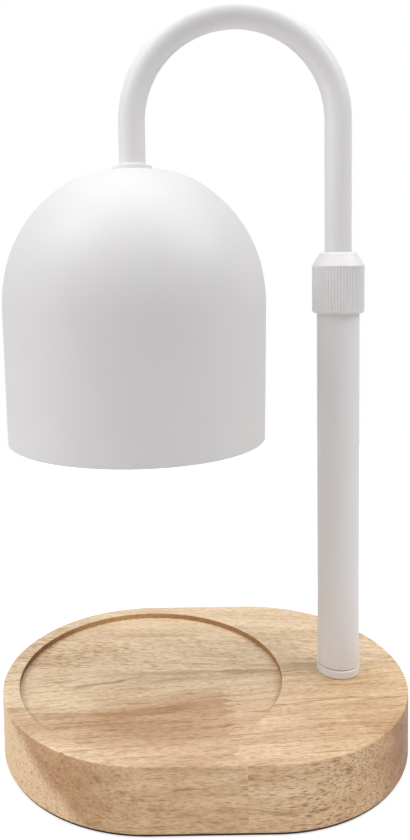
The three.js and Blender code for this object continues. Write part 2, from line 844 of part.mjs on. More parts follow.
function bulbBase() {
  const spigotEnd = bulbBaseBottom - bulbWall;
  const baseRadius = bulbNeckRadius + bulbBaseLip;
  const outline = [
    [0, spigotEnd],
    [bulbSpigot, spigotEnd],
    [bulbSpigot, bulbBaseBottom],
    [baseRadius, bulbBaseBottom],
    [baseRadius, bulbTop],
    [0, bulbTop],
  ];
  const capsuleSeat = rod(capsuleRadius + fitGap, spigotEnd - overrun, bulbBaseBottom);
  return cut(turned(outline), capsuleSeat);
}

function bulbPin() {
  const neckTop = bulbTop + pinNeckLength;
  const headTop = neckTop + pinHeadLength;
  const outline = [
    [0, bulbTop],
    [pinNeckRadius, bulbTop],
    [pinNeckRadius, neckTop],
    [pinHeadRadius, neckTop],
    [pinHeadRadius, headTop],
    [0, headTop],
  ];
  return turned(outline, smallSides);
}

function bulbCapsule() {
  const tip = bulbBaseBottom - capsuleLength;
  const tipRound = roundCorner(0, tip + capsuleRadius, capsuleRadius, -Math.PI / 2, 0);
  return turned([...tipRound, [capsuleRadius, bulbBaseBottom], [0, bulbBaseBottom]], smallSides);
}

const lensRadius = bulbRadius - bulbWall - fitGap;
const lens = rod(lensRadius, bulbFront, bulbFront + bulbLensThickness);
add(shadeAxis, "bulb_reflector", bulbReflector(), mirrorGlass);
add(shadeAxis, "bulb_base", bulbBase(), whiteCeramic);
add(shadeAxis, "bulb_capsule", bulbCapsule(), clearGlass);
add(shadeAxis, "bulb_front_glass", lens, clearGlass);
add(shadeAxis, "bulb_pin_left", bulbPin().translate(-pinSpread, 0, 0), brass);
add(shadeAxis, "bulb_pin_right", bulbPin().translate(pinSpread, 0, 0), brass);

// Inner lead in three stretches: out of the outlet and up the stem, slack in the post, and up
// the hook to the shade. Its two cores go on to the lamp holder.
function lowerLead() {
  const at = (x, z) => new THREE.Vector3(x, 0, z);
  const bend = stemBottom - leadLowest;
  const outlet = pocketRadius + leadIntoGrommet;
  const middle = (bend + outlet) / 2;
  const path = new THREE.CurvePath();
  path.add(new THREE.LineCurve3(at(0, stemTop + leadPastStem), at(0, stemBottom)));
  path.add(new THREE.QuadraticBezierCurve3(at(0, stemBottom), at(0, leadLowest), at(bend, leadLowest)));
  path.add(
    new THREE.CubicBezierCurve3(
      at(bend, leadLowest),
      at(middle, leadLowest),
      at(middle, outletHeight),
      at(outlet, outletHeight),
    ),
  );
  return swept(path, leadRadius, 0, leadSides, slackSteps);
}

class SlackLine extends THREE.Curve {
  getPoint(t) {
    const sway = slackSway * Math.sin(2 * Math.PI * slackWaves * t) * Math.sin(Math.PI * t);
    return new THREE.Vector3(sway, 0, THREE.MathUtils.lerp(slackBottom, slackTop, t));
  }
}

function core(side) {
  const top = leadTop - facingGap;
  const bottom = holderTop - terminalDepth + facingGap;
  const middle = (top + bottom) / 2;
  const topX = side * (coreRadius + facingGap / 2);
  const bottomX = side * pinSpread;
  const path = new THREE.CubicBezierCurve3(
    new THREE.Vector3(topX, 0, top),
    new THREE.Vector3(topX, 0, middle),
    new THREE.Vector3(bottomX, 0, middle),
    new THREE.Vector3(bottomX, 0, bottom),
  );
  return swept(path, coreRadius, 0, leadSides, curveSteps);
}

const slackLead = swept(new SlackLine(), leadRadius, 0, leadSides, slackSteps);
const upperLead = hookSweep(tubePlugBottom - leadPastTubePlug, leadTop, leadRadius, 0, leadSides);
add(postAxis, "lead_lower", lowerLead(), siliconeSleeve);
add(postAxis, "lead_slack", slackLead, siliconeSleeve);
add(postAxis, "lead_upper", upperLead, siliconeSleeve);
add(shadeAxis, "lead_core_left", core(-1), siliconeSleeve);
add(shadeAxis, "lead_core_right", core(1), siliconeSleeve);

export default lamp;
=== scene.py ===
# %% [markdown]
# # A candle warmer lamp
# This lesson dresses a imported CAD model of a table lamp that melts a scented candle from above.
# The CAD model fixes every size, place and joint. Blender adds what the eye needs: smooth curves,
# rounded edges, timber, powder coat, glass and light. So the first step is always to load the
# frame.

import math

import bmesh
import bpy
from mathutils import Matrix, Vector


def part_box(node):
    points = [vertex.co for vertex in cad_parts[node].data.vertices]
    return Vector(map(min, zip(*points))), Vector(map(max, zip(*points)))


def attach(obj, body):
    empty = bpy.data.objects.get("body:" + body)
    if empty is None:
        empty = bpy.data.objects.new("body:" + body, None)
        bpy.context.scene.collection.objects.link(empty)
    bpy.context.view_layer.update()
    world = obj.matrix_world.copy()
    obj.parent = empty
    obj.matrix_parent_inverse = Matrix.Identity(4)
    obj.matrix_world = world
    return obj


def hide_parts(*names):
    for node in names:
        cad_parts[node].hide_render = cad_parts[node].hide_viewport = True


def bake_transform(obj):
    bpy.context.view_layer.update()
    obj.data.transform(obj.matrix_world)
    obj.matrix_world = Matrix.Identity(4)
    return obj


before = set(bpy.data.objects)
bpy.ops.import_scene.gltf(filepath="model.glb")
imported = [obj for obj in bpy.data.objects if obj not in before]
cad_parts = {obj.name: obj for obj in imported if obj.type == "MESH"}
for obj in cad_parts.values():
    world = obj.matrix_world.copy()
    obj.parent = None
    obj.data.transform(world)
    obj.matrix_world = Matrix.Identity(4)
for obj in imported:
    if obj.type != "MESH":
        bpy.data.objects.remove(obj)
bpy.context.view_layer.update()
MM = 0.001  # one millimetre in Blender's metres

# %% [markdown]
# ## Camera
# The photograph was taken from just above the middle of the shade, close to the lamp, and then
# cropped. A crop moves the picture's middle away from the lens's middle. Turning the camera would
# bend the upright post, so the lens shift does it instead, as on a view camera. The small roll is
# there because the photographer's camera was not quite level.

# %% The photographer's camera
CAMERA_PLACE_MM = (-15.54, -348.87, 220.27)
CAMERA_PITCH = math.radians(-4.13)
CAMERA_ROLL = math.radians(-0.93)
FILM_MM = 36  # the picture's longer side
LENS_MM = 32.85
LENS_SHIFT = (0.0476, -0.1184)  # as shares of the picture's longer side


def new_object(name, data):
    """An object in the scene, for a mesh, a light or a camera."""
    made = bpy.data.objects.new(name, data)
    bpy.context.scene.collection.objects.link(made)
    return made


camera_data = bpy.data.cameras.new("photo_camera")
camera_data.sensor_width, camera_data.lens = FILM_MM, LENS_MM
camera_data.shift_x, camera_data.shift_y = LENS_SHIFT
camera_data.clip_start = 0.01
camera = new_object("photo_camera", camera_data)
tilt = Matrix.Rotation(math.radians(90) + CAMERA_PITCH, 4, "X")
roll = Matrix.Rotation(CAMERA_ROLL, 4, "Z")
camera.matrix_world = Matrix.Translation(Vector(CAMERA_PLACE_MM) * MM) @ tilt @ roll
bpy.context.scene.camera = camera
print("camera at", [round(c, 4) for c in camera.location])

# %% [markdown]
# ## Floor, backdrop and light
# The lamp stands in a light tent: white all round, brightest overhead, a little darker where the
# camera looks in. That gap is what gives a white lamp its grey middle. The floor is a plain pale
# sheet. Light Path tells the camera's own rays from the light that falls on the lamp, so the
# background can look pure white while the lamp is lit at a plain level, and its shadow stays.

# %% Floor and world
PAPER_WHITE = (1, 1, 1, 1)
FLOOR_GREY = (0.71, 0.70, 0.69, 1)
MIRRORED_WHITE = 0.43  # how much of the white backdrop a reflection shows
FLOOR_RADIUS = 0.6  # metres: past its edge the white tent is seen
FLOOR_GAP = 0.2  # millimetres below the lamp, so that no two surfaces coincide
FLOOR_LIFT = 0.55  # what the camera's rays add, so that the lit floor comes out white
TENT_GREY = (0.315, 0.315, 0.32, 1)


class Bench:
    """The node tree that was opened last. All nodes and links are made there."""
    tree = None


def open_tree(owner):
    """Open the tree of a new material or world, without the nodes that it starts with."""
    owner.use_nodes = True
    Bench.tree = owner.node_tree
    Bench.tree.nodes.clear()


def link(source, socket):
    Bench.tree.links.new(source, socket)


def put(kind, inputs=None, **settings):
    """Add a node, set its properties, and give its sockets a value or a link."""
    made = Bench.tree.nodes.new("ShaderNode" + kind)
    for key, value in settings.items():
        setattr(made, key, value)
    for key, value in (inputs or {}).items():
        if isinstance(value, bpy.types.NodeSocket):
            link(value, made.inputs[key])
        else:
            made.inputs[key].default_value = value
    return made


def calculate(operation, *values, clamp=False):
    """One sum: the Math node, with a value or link for each of its sockets."""
    sockets = dict(enumerate(values))
    return put("Math", sockets, operation=operation, use_clamp=clamp).outputs[0]


def times(product, *factors):
    """Values multiplied, with one Math node for each factor."""
    for factor in factors:
        product = calculate("MULTIPLY", product, factor)
    return product


def total(amount, *others):
    """Values added, with one Math node for each."""
    for other in others:
        amount = calculate("ADD", amount, other)
    return amount


def mix_colour(share, first, second, blend="MIX"):
    """The Mix node keeps its colour sockets at places 6 and 7, and its colour result at 2."""
    sockets = {0: share, 6: first, 7: second}
    return put("Mix", sockets, data_type="RGBA", blend_type=blend).outputs[2]


def seen_rays():
    """1 for the camera's rays, also through glass, and less for what is seen in a mirror."""
    path = put("LightPath").outputs
    in_mirror = times(path["Is Glossy Ray"], MIRRORED_WHITE)
    camera_or_mirror = calculate("MAXIMUM", path["Is Camera Ray"], in_mirror)
    return calculate("MAXIMUM", camera_or_mirror, path["Is Transmission Ray"])


paper = bpy.data.materials.new("pale_paper")
open_tree(paper)
sheet = put("BsdfDiffuse", {"Color": FLOOR_GREY})
glow = put("Emission", {"Color": PAPER_WHITE, "Strength": times(seen_rays(), FLOOR_LIFT)})
both = put("AddShader", {0: sheet.outputs[0], 1: glow.outputs[0]})
put("OutputMaterial", {"Surface": both.outputs[0]})
bpy.ops.mesh.primitive_circle_add(
    vertices=96, radius=FLOOR_RADIUS, fill_type="NGON", location=(0, 0, -FLOOR_GAP * MM)
)
floor = bpy.context.object
floor.name = "floor"
floor.data.materials.append(paper)

world = bpy.data.worlds.new("light_tent")
bpy.context.scene.world = world
open_tree(world)
tent_colour = mix_colour(seen_rays(), TENT_GREY, PAPER_WHITE)
background = put("Background", {"Color": tent_colour, "Strength": 1})
put("OutputWorld", {"Surface": background.outputs[0]})
bpy.context.scene.view_settings.view_transform = "Standard"
print("floor", floor.dimensions[:], "world", world.name)

# %% Soft boxes
LAMP_CENTRE = Vector((0, 0, 0.16))


def soft_box(name, place, width, height, watts):
    """A large rectangular lamp that faces the object."""
    light = bpy.data.lights.new(name, "AREA")
    light.shape = "RECTANGLE"
    light.size, light.size_y = width, height
    light.energy = watts
    box = new_object(name, light)
    box.location = place
    box.rotation_euler = (LAMP_CENTRE - box.location).to_track_quat("-Z", "Y").to_euler()
    print(name, "at", place, "watts", watts)


soft_box("overhead_box", (0, 0, 1.8), 1.6, 1.5, 12.6)
soft_box("high_left_box", (-1.16, -0.36, 1.34), 1.0, 1.0, 11.6)
soft_box("high_right_box", (1.15, -0.36, 1.45), 1.0, 1.0, 13.6)
soft_box("left_box", (-1.00, -0.35, 0.28), 0.7, 0.5, 1.4)

# %% [markdown]
# ## Modelling helpers
# Every piece below is made with the operators that a hand would use in the viewport. Operators
# act on what is selected, and the imported CAD nodes are all selected after loading, so each
# piece starts by deselecting everything. In edit mode the faces and edges are picked by where
# they lie, because their numbers change with every operation.

# %% Helpers for selecting and finishing
UPRIGHT = (0, 0, 1)
HALF_TURN = math.pi
SMOOTH_BELOW = math.radians(32)


def clear_hands():
    """Leave edit mode and deselect everything."""
    if bpy.context.object and bpy.context.object.mode != "OBJECT":
        bpy.ops.object.mode_set(mode="OBJECT")
    bpy.ops.object.select_all(action="DESELECT")


def hold(piece, mode="OBJECT"):
    """Make one piece the selected and active one, in object or edit mode."""
    clear_hands()
    bpy.context.view_layer.objects.active = piece
    piece.select_set(True)
    bpy.ops.object.mode_set(mode=mode)


def select_all():
    bpy.ops.mesh.select_all(action="SELECT")


def extrude(x=0, z=0):
    """Extrude what is selected, by millimetres along X and upward."""
    step = (x * MM, 0, z * MM)
    bpy.ops.mesh.extrude_region_move(TRANSFORM_OT_translate={"value": step})


def spin(steps, angle, x, z=0, axis=UPRIGHT):
    """Spin what is selected about an axis through a place on the middle plane, in millimetres."""
    bpy.ops.mesh.spin(steps=steps, angle=angle, center=(x * MM, 0, z * MM), axis=axis)


def weld(gap_mm=0.002):
    """Join the vertices that lie on each other."""
    select_all()
    bpy.ops.mesh.remove_doubles(threshold=gap_mm * MM)


def named(name):
    """Name the primitive that was just added, and open it for editing with all of it selected."""
    piece = bpy.context.object
    piece.name = piece.data.name = name
    bpy.ops.object.mode_set(mode="EDIT")
    bpy.ops.mesh.select_mode(type="VERT")
    select_all()
    return piece


def first_point(name, x, y, z):
    """A new piece of a single vertex, open for editing: a tiny plane merged to its middle."""
    clear_hands()
    bpy.ops.mesh.primitive_plane_add(size=MM, location=(x * MM, y * MM, z * MM))
    piece = named(name)
    bpy.ops.mesh.merge(type="CENTER")
    return piece


def pick(piece, kind, wanted):
    """In edit mode, select only the verts, edges or faces whose middle, in mm, passes a test."""
    bpy.ops.mesh.select_mode(type={"verts": "VERT", "edges": "EDGE", "faces": "FACE"}[kind])
    bpy.ops.mesh.select_all(action="DESELECT")
    mesh = bmesh.from_edit_mesh(piece.data)
    count = 0
    for item in getattr(mesh, kind):
        points = [item.co] if kind == "verts" else [corner.co for corner in item.verts]
        middle = sum(points, Vector()) / len(points)
        if wanted((piece.matrix_world @ middle) / MM):
            item.select_set(True)
            count += 1
    mesh.select_flush_mode()
    bmesh.update_edit_mesh(piece.data)
    return count


def modify(piece, kind, **settings):
    """Add one modifier to the piece and apply it at once."""
    hold(piece)
    modifier = piece.modifiers.new(kind.title(), kind)
    for key, value in settings.items():
        setattr(modifier, key, value)
    bpy.ops.object.modifier_apply(modifier=modifier.name)


def cut_away(piece, cutter):
    """Take the cutter's shape out of the piece, and throw the cutter away."""
    modify(piece, "BOOLEAN", operation="DIFFERENCE", object=cutter, solver="EXACT")
    bpy.data.objects.remove(cutter)


def soften(piece, width_mm, segments=2, above=40):
    """Round the edges that turn by more than an angle, as a file or a cutter leaves them."""
    modify(
        piece, "BEVEL", width=width_mm * MM, segments=segments, limit_method="ANGLE",
        angle_limit=math.radians(above),
    )


def settle(piece):
    """Bring the object to the origin, unturned and unscaled, with its place in its mesh."""
    hold(piece)
    bpy.ops.object.transform_apply(location=True, rotation=True, scale=True)
    return piece


def finish(piece, body, material, *nodes, smooth=SMOOTH_BELOW):
    """Smooth the piece, keep its large faces flat, and hand it over to the CAD frame."""
    settle(piece)
    bpy.ops.object.shade_smooth_by_angle(angle=smooth)
    modify(piece, "WEIGHTED_NORMAL", keep_sharp=True, weight=100)
    piece.data.materials.clear()
    piece.data.materials.append(material)
    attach(piece, body)
    if nodes:
        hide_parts(*nodes)
    print(piece.name, len(piece.data.polygons), "faces", [round(s / MM, 2) for s in piece.dimensions])
    return piece

# %% Helpers for measuring and turning
def corners_mm(node):
    """Lowest and highest corner of a CAD node, in millimetres."""
    low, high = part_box(node)
    return low / MM, high / MM


def heights(node):
    low, high = corners_mm(node)
    return low.z, high.z


def middle_x(node):
    low, high = corners_mm(node)
    return (low.x + high.x) / 2


def round_corner(centre_r, centre_z, radius, start, end, steps=5):
    """Points on an arc between two angles in degrees, for a rounded corner in an outline."""
    angles = [math.radians(start + (end - start) * i / steps) for i in range(steps + 1)]
    return [(centre_r + radius * math.cos(a), centre_z + radius * math.sin(a)) for a in angles]


def round_below(outer, bottom, radius, steps=5):
    """A quarter circle from an underside into an outer wall."""
    return round_corner(outer - radius, bottom + radius, radius, -90, 0, steps)


def round_above(outer, top, radius):
    """A quarter circle from an outer wall into a top."""
    return round_corner(outer - radius, top - radius, radius, 0, 90)


def turn(name, outline, axis_x, steps=96, closed=True):
    """Draw an outline of (radius, height) points edge by edge, and spin it as on a lathe."""
    ends = (outline[0], outline[-1])
    piece = first_point(name, axis_x + ends[0][0], 0, ends[0][1])
    for (r0, z0), (r1, z1) in zip(outline, outline[1:]):
        extrude(r1 - r0, z1 - z0)

    def at_an_end(point):
        return any(abs(point.x - axis_x - r) < 1e-4 and abs(point.z - z) < 1e-4 for r, z in ends)

    if closed and max(ends[0][0], ends[1][0]) > 0:
        pick(piece, "verts", at_an_end)
        bpy.ops.mesh.edge_face_add()
    select_all()
    spin(steps, 2 * HALF_TURN, axis_x)
    weld(0.004)
    bpy.ops.mesh.normals_make_consistent(inside=False)
    bpy.ops.object.mode_set(mode="OBJECT")
    return piece


def lathe(name, outline, axis_x, body, material, *nodes, steps=96):
    """Turn a piece and finish it."""
    return finish(turn(name, outline, axis_x, steps), body, material, *nodes)

# %% [markdown]
# ## Finishes
# No real surface is one flat colour. Three effects give the surfaces their life, and each is built
# once as a node group. Many materials share the first two: the fine skin of paint, plastic and
# ceramic, and the lines that a lathe leaves on metal. The third is the board's timber. A group only
# gives colours, values and normals. The shader stays in each material, where its plain values sit
# on its own sockets. All patterns read Object coordinates in millimetres, so they stay put on
# their piece.

# %% Building a node group
SOCKET_KINDS = {"Place": "Vector", "Facing": "Vector", "Normal": "Vector", "Colour": "Color"}
RESULTS = ("Colour", "Roughness", "Normal")
NOISE_REACH = (0.3, 0.7)  # nearly all values of a noise lie between these


def srgb(red, green, blue):
    """A colour as a picture program shows it, 0 to 255, turned into Blender's linear values."""
    shares = [part / 255 for part in (red, green, blue)]
    return (*[s / 12.92 if s <= 0.04045 else ((s + 0.055) / 1.055) ** 2.4 for s in shares], 1)


def tell_nodes():
    print(Bench.tree.name, "has", len(Bench.tree.nodes), "nodes")


def new_group(name, *inputs):
    """A node group that gives a colour, a roughness and a normal, and its two end nodes."""
    tree = Bench.tree = bpy.data.node_groups.new(name, "ShaderNodeTree")
    for direction, labels in (("INPUT", inputs), ("OUTPUT", RESULTS)):
        for label in labels:
            kind = "NodeSocket" + SOCKET_KINDS.get(label, "Float")
            tree.interface.new_socket(label, in_out=direction, socket_type=kind)
    return tree.nodes.new("NodeGroupInput").outputs, tree.nodes.new("NodeGroupOutput").inputs


def in_millimetres(place):
    return put("VectorMath", {0: place, "Scale": 1000}, operation="SCALE").outputs[0]


def stretch(vector, factors):
    return put("VectorMath", {0: vector, 1: factors}, operation="MULTIPLY").outputs[0]


def move(vector, by):
    return put("VectorMath", {0: vector, 1: by}, operation="ADD").outputs[0]


def noise(place, per_mm, detail=3.0, rough=0.5, distortion=0.0):
    """A soft random value, about 0.5, whose blotches are one over per_mm wide."""
    sockets = {"Vector": place, "Scale": per_mm, "Detail": detail, "Roughness": rough}
    return put("TexNoise", {**sockets, "Distortion": distortion}).outputs[0]


def spread(value, low, high, to_low=0.0, to_high=1.0):
    """Stretch the part of a value between two limits over a new range."""
    sockets = {0: value, 1: low, 2: high, 3: to_low, 4: to_high}
    return put("MapRange", sockets, clamp=True).outputs[0]


def sway(random_value, low, high):
    """Stretch a noise over a new range."""
    return spread(random_value, *NOISE_REACH, low, high)


def shade_colour(given, result, level):
    """The group's colour, a little darker or lighter by a level about 1."""
    grey = put("CombineColor", {0: level, 1: level, 2: level}).outputs[0]
    link(mix_colour(1.0, given["Colour"], grey, "MULTIPLY"), result["Colour"])


def emboss(result, height, strength, depth_mm):
    """Turn a height into the normals of a relief."""
    relief = {"Height": height, "Strength": strength, "Distance": depth_mm * MM}
    link(put("Bump", relief).outputs[0], result["Normal"])

# %% Shared effect: a fine skin
given, result = new_group(
    "fine_skin", "Place", "Colour", "Tone Spread", "Roughness", "Roughness Spread",
    "Grains per mm", "Relief",
)
place = in_millimetres(given["Place"])
patches = sway(noise(place, 0.035, 2), -1, 1)
level = calculate("MULTIPLY_ADD", patches, given["Tone Spread"], 1.0)
shade_colour(given, result, level)
smears = sway(noise(place, 0.09, 4, 0.6), -1, 1)
rough = times(smears, given["Roughness Spread"])
link(calculate("ADD", rough, given["Roughness"], clamp=True), result["Roughness"])
grains = noise(place, given["Grains per mm"], 2, 0.55)
emboss(result, grains, given["Relief"], 0.05)
fine_skin = Bench.tree
tell_nodes()

# %% Shared effect: lathe and brush lines
given, result = new_group("tool_lines", "Place", "Colour", "Roughness", "Lines per mm", "Relief")
place = in_millimetres(given["Place"])
lines = noise(stretch(place, (0.02, 0.02, 1)), given["Lines per mm"], 3, 0.6)
patches = noise(place, 0.12, 3)
shade_colour(given, result, sway(patches, 0.93, 1.03))
rough = total(sway(lines, -0.07, 0.07), sway(patches, -0.05, 0.05))
link(calculate("ADD", rough, given["Roughness"], clamp=True), result["Roughness"])
emboss(result, lines, given["Relief"], 0.03)
tool_lines = Bench.tree
tell_nodes()

# %% [markdown]
# ## Rubberwood
# The board is glued from four long staves, and three of them are joined from shorter lengths. Each
# length has its own tone and grain, which stop at a straight glue line. Where two lengths meet end
# to end, interlocking fingers are cut: that joint is a zigzag from above and a straight line from
# the front. The grain is noise that is drawn out along the board. Cut across at the board's round
# ends, the same noise shows as dots, as end grain does. A ColorRamp with steps instead of slopes
# works as a small table with one value per stave. Sapwood, heartwood and dark growth lines are
# soft ovals, bent by a little noise.

# %% The wood's two tones and how they lie
BOARD_HALF_WIDTH = 68.5
BOARD_STRAIGHT = 49.5  # from the middle of one half turn to the middle of the other
RECESS_RADIUS = 61.0  # its middle is the left half turn's
PALE_WOOD = srgb(255, 232, 200)
HEART_WOOD = srgb(194, 152, 113)
PORE_BROWN = srgb(118, 76, 42)
GOLDEN_TINT = srgb(249, 246, 238)
STREAK_TINT = srgb(210, 184, 156)
DASH_TINT = srgb(212, 186, 160)
FIBRE_TINT = srgb(220, 204, 182)
RIGHT_END_TINT = srgb(189, 165, 158)
LEFT_END_TINT = srgb(222, 206, 192)
PAINTED_WARM_LIGHT_TINT = srgb(255, 252, 245)
# Painted shade for the recess's wall
RECESS_WALL_SHADE_TINT = srgb(216, 200, 178)
GOLDEN_FROM_TO = (24, 60)  # along the board, where the wood turns golden
WEDGE_SLOPE, WEDGE_START = 0.87, 43  # the sapwood wedge's edge on the board's face
GLUE_LINES_MM = (-28.0, 5.5, 39.0)  # across the board, between the four staves
LEAN = (0.09, 0.14, -0.10, -0.06)  # how far each stave's grain rises, per millimetre along it
JOINTS_MM = (10.5, 9.5, 190.0, -1.0)  # along the board, where each stave changes
FINGER_HALF_PITCH = 2.2
FINGER_REACH = 3.0
FINGERS = (1.0, 1.0, 0.0, 0.05)  # the back stave's joint shows no fingers
# The third stave's low shares are partly its own pale wood and partly painted light that lifts the recess
# floor under the shade.
HEART_ON_LEFT = (0.48, 0.26, 0.12, 0.14)  # share of heartwood, one value per stave
HEART_ON_RIGHT = (0.42, 0.30, 0.08, 0.08)
STREAKINESS = (0.80, 0.85, 0.50, 0.35)
DASHES = (0.25, 0.20, 0.62, 0.15)
PORE_CROWD = (0.20, 0.12, 0.34, 0.08)
# Stave, middle, half length and half width, slope, and the heartwood that it adds or takes away
OVALS = (
    (1, (-76, -6), (46, 23), 0.05, -0.36),
    (1, (4, -26), (78, 19), 0.20, 0.46),
    (0, (-4, -31), (74, 25), 0.03, 0.30),
    (0, (-86, -36), (12, 12), 0.0, 0.06),
    (0, (-48, -62), (44, 12), 0.0, -0.12),
    (2, (-58, 35), (34, 7), -0.06, -0.24),
    (2, (0, 8), (110, 5), 0.0, -0.16),
    (2, (-60, 10), (40, 8), 0.0, -0.22),
    (0, (74, -42), (20, 15), 0.0, 0.24),
    (2, (40, 12), (26, 14), 0.0, -0.34),
    (2, (-62, 19), (36, 15), -0.05, 0.12),
    (2, (-60, 38.2), (30, 1.0), -0.01, 0.30),
    (3, (-30, 43), (30, 6), -0.04, 0.16),
    (1, (66, -12), (24, 7), 0.03, 0.20),
    (1, (-32, -26), (34, 9), 0.30, 0.21),
    (1, (-64, -29), (22, 6), 0.0, 0.12),
    (0, (-66, -31), (26, 7), 0.0, -0.12),
    (1, (-47, -5), (22, 1.5), 0.30, 0.60),
    (1, (2, 3.8), (52, 2.2), 0.02, 0.26),
    (0, (-52, -35), (24, 1.2), 0.12, 0.22),
    (0, (34, -46), (26, 1.3), 0.10, 0.24),
    (1, (62, -13), (20, 1.2), 0.02, 0.34),
    (1, (62, -24), (22, 1.2), 0.03, 0.34),
    (0, (52, -39), (20, 1.1), 0.05, 0.28),
)


def per_stave(share, values):
    """One value per stave. A ColorRamp only holds values from 0 to 1, so they are stretched after."""
    low, high = min(values), max(values)
    ramp = put("ValToRGB", {0: share})
    ramp.color_ramp.interpolation = "CONSTANT"
    elements = ramp.color_ramp.elements
    while len(elements) < len(values):
        elements.new(0.5)
    starts = [0.0] + [(line / BOARD_HALF_WIDTH + 1) / 2 for line in GLUE_LINES_MM]
    for element, start, value in zip(elements, starts, values):
        level = (value - low) / (high - low)
        element.position = start
        element.color = (level, level, level, 1)
    return spread(ramp.outputs[0], 0, 1, low, high)


def oval(place, middle, half_sizes, slope):
    """A soft oval that reaches through the whole board: 1 in the middle and 0 at its edge."""
    sockets = {
        "Vector": place, "Location": (*middle, 0), "Rotation": (0, 0, slope), "Scale": (*half_sizes, 1000),
    }
    unit = put("Mapping", sockets, vector_type="TEXTURE").outputs[0]
    ball = put("TexGradient", {"Vector": unit}, gradient_type="SPHERICAL").outputs[1]
    return spread(ball, 0, 0.6)


# %% Timber: staves, joints and lengths
def darken(share, tone, tint):
    """Multiply a colour by a tint, as far as a share says."""
    return mix_colour(share, tone, mix_colour(1.0, tone, tint, "MULTIPLY"))


given, result = new_group("timber", "Place", "Facing")
place = in_millimetres(given["Place"])
along, across, height = put("SeparateXYZ", {0: place}).outputs
facing_x, _, facing_z = put("SeparateXYZ", {0: given["Facing"]}).outputs
upright_face = spread(calculate("ABSOLUTE", facing_z), 0.3, 0.7, 1, 0)

# Which stave, and which side of its joint. The joint's fingers are a triangle wave
share = spread(across, -BOARD_HALF_WIDTH, BOARD_HALF_WIDTH)
wave = calculate("PINGPONG", total(across, BOARD_HALF_WIDTH), FINGER_HALF_PITCH)
fingers = spread(wave, 0, FINGER_HALF_PITCH, FINGER_REACH, -FINGER_REACH)
fingers = times(fingers, per_stave(share, FINGERS))
joint = total(per_stave(share, JOINTS_MM), fingers)
on_right = spread(calculate("SUBTRACT", along, joint), -0.2, 0.2)
stave = per_stave(share, (0, 1, 2, 3))
piece_number = calculate("MULTIPLY_ADD", calculate("ROUND", on_right), 5, stave)
lot = put("TexWhiteNoise", {"W": piece_number}, noise_dimensions="1D").outputs[1]
tell_nodes()

# %% Timber: the grain of each length
# Every length of wood was cut from another place in a tree, and its grain leans a little
rise = times(along, per_stave(share, [-lean for lean in LEAN]))
leaning = move(place, put("CombineXYZ", {1: rise}).outputs[0])
own_place = move(leaning, stretch(lot, (400, 60, 60)))


def grain(squeeze, per_mm, *detail):
    """Noise that is drawn out along this length's own grain."""
    return noise(stretch(own_place, (squeeze, 1, 1)), per_mm, *detail)


tell_nodes()

# %% Timber: heartwood
# Share of heartwood: the stave's own, the ovals, and two sizes of soft noise
left, right = per_stave(share, HEART_ON_LEFT), per_stave(share, HEART_ON_RIGHT)
heart = put("Mix", {0: on_right, 2: left, 3: right}).outputs[0]
bend = put("TexNoise", {"Vector": stretch(place, (0.03, 0.09, 0.09)), "Scale": 1.0}).outputs[1]
bend = stretch(move(bend, (-0.5, -0.5, -0.5)), (24, 5, 0))
bent_place = move(place, bend)
on_left = calculate("SUBTRACT", 1, on_right)
for number, middle, half_sizes, slope, amount in OVALS:
    shape = oval(bent_place, middle, half_sizes, slope)
    is_here = calculate("COMPARE", stave, number, 0.1)
    if JOINTS_MM[number] < BOARD_HALF_WIDTH and middle[1] < 0:
        is_here = times(is_here, on_right if middle[0] > JOINTS_MM[number] else on_left)
    heart = total(heart, times(shape, is_here, amount))
clouds = sway(grain(0.3, 0.06, 2), -0.14, 0.14)
bands = sway(grain(0.07, 0.22, 3), -0.16, 0.16)
heart = total(heart, clouds, bands)

# A wedge of pale sapwood low down at the left end
wedge_edge = calculate("MULTIPLY_ADD", along, WEDGE_SLOPE, WEDGE_START)
in_wedge = times(spread(total(wedge_edge, height), -5, 4, 1, 0), upright_face)
heart = calculate("SUBTRACT", heart, times(in_wedge, 0.55), clamp=True)
tone = mix_colour(heart, PALE_WOOD, HEART_WOOD)
tell_nodes()

# %% Timber: streaks, dashes and fibres
# Golden wood on the right in front, then thin dark streaks, short dashes and the fine fibres
in_front = spread(stave, 1.4, 1.6, 1, 0)
mostly_on_top = spread(upright_face, 0, 1, 1, 0.3)
golden = times(spread(along, *GOLDEN_FROM_TO), in_front, mostly_on_top)
tone = darken(golden, tone, GOLDEN_TINT)
streaks = grain(0.05, 0.62, 4, 0.6, 0.2)
streakiness = per_stave(share, STREAKINESS)
tone = darken(times(spread(streaks, 0.54, 0.70), streakiness), tone, STREAK_TINT)
left_crowd = oval(place, (-64, 23), (44, 17), 0)
dash_share = calculate("MULTIPLY_ADD", left_crowd, 0.7, per_stave(share, DASHES))
dashes = spread(grain(0.22, 0.95, 3, 0.6), 0.52, 0.66)
dash_mask = calculate("MULTIPLY", dashes, dash_share, clamp=True)
tone = darken(dash_mask, tone, DASH_TINT)
fibres = grain(0.16, 1.9, 3, 0.65)
tone = darken(spread(fibres, 0.44, 0.68), tone, FIBRE_TINT)
tell_nodes()

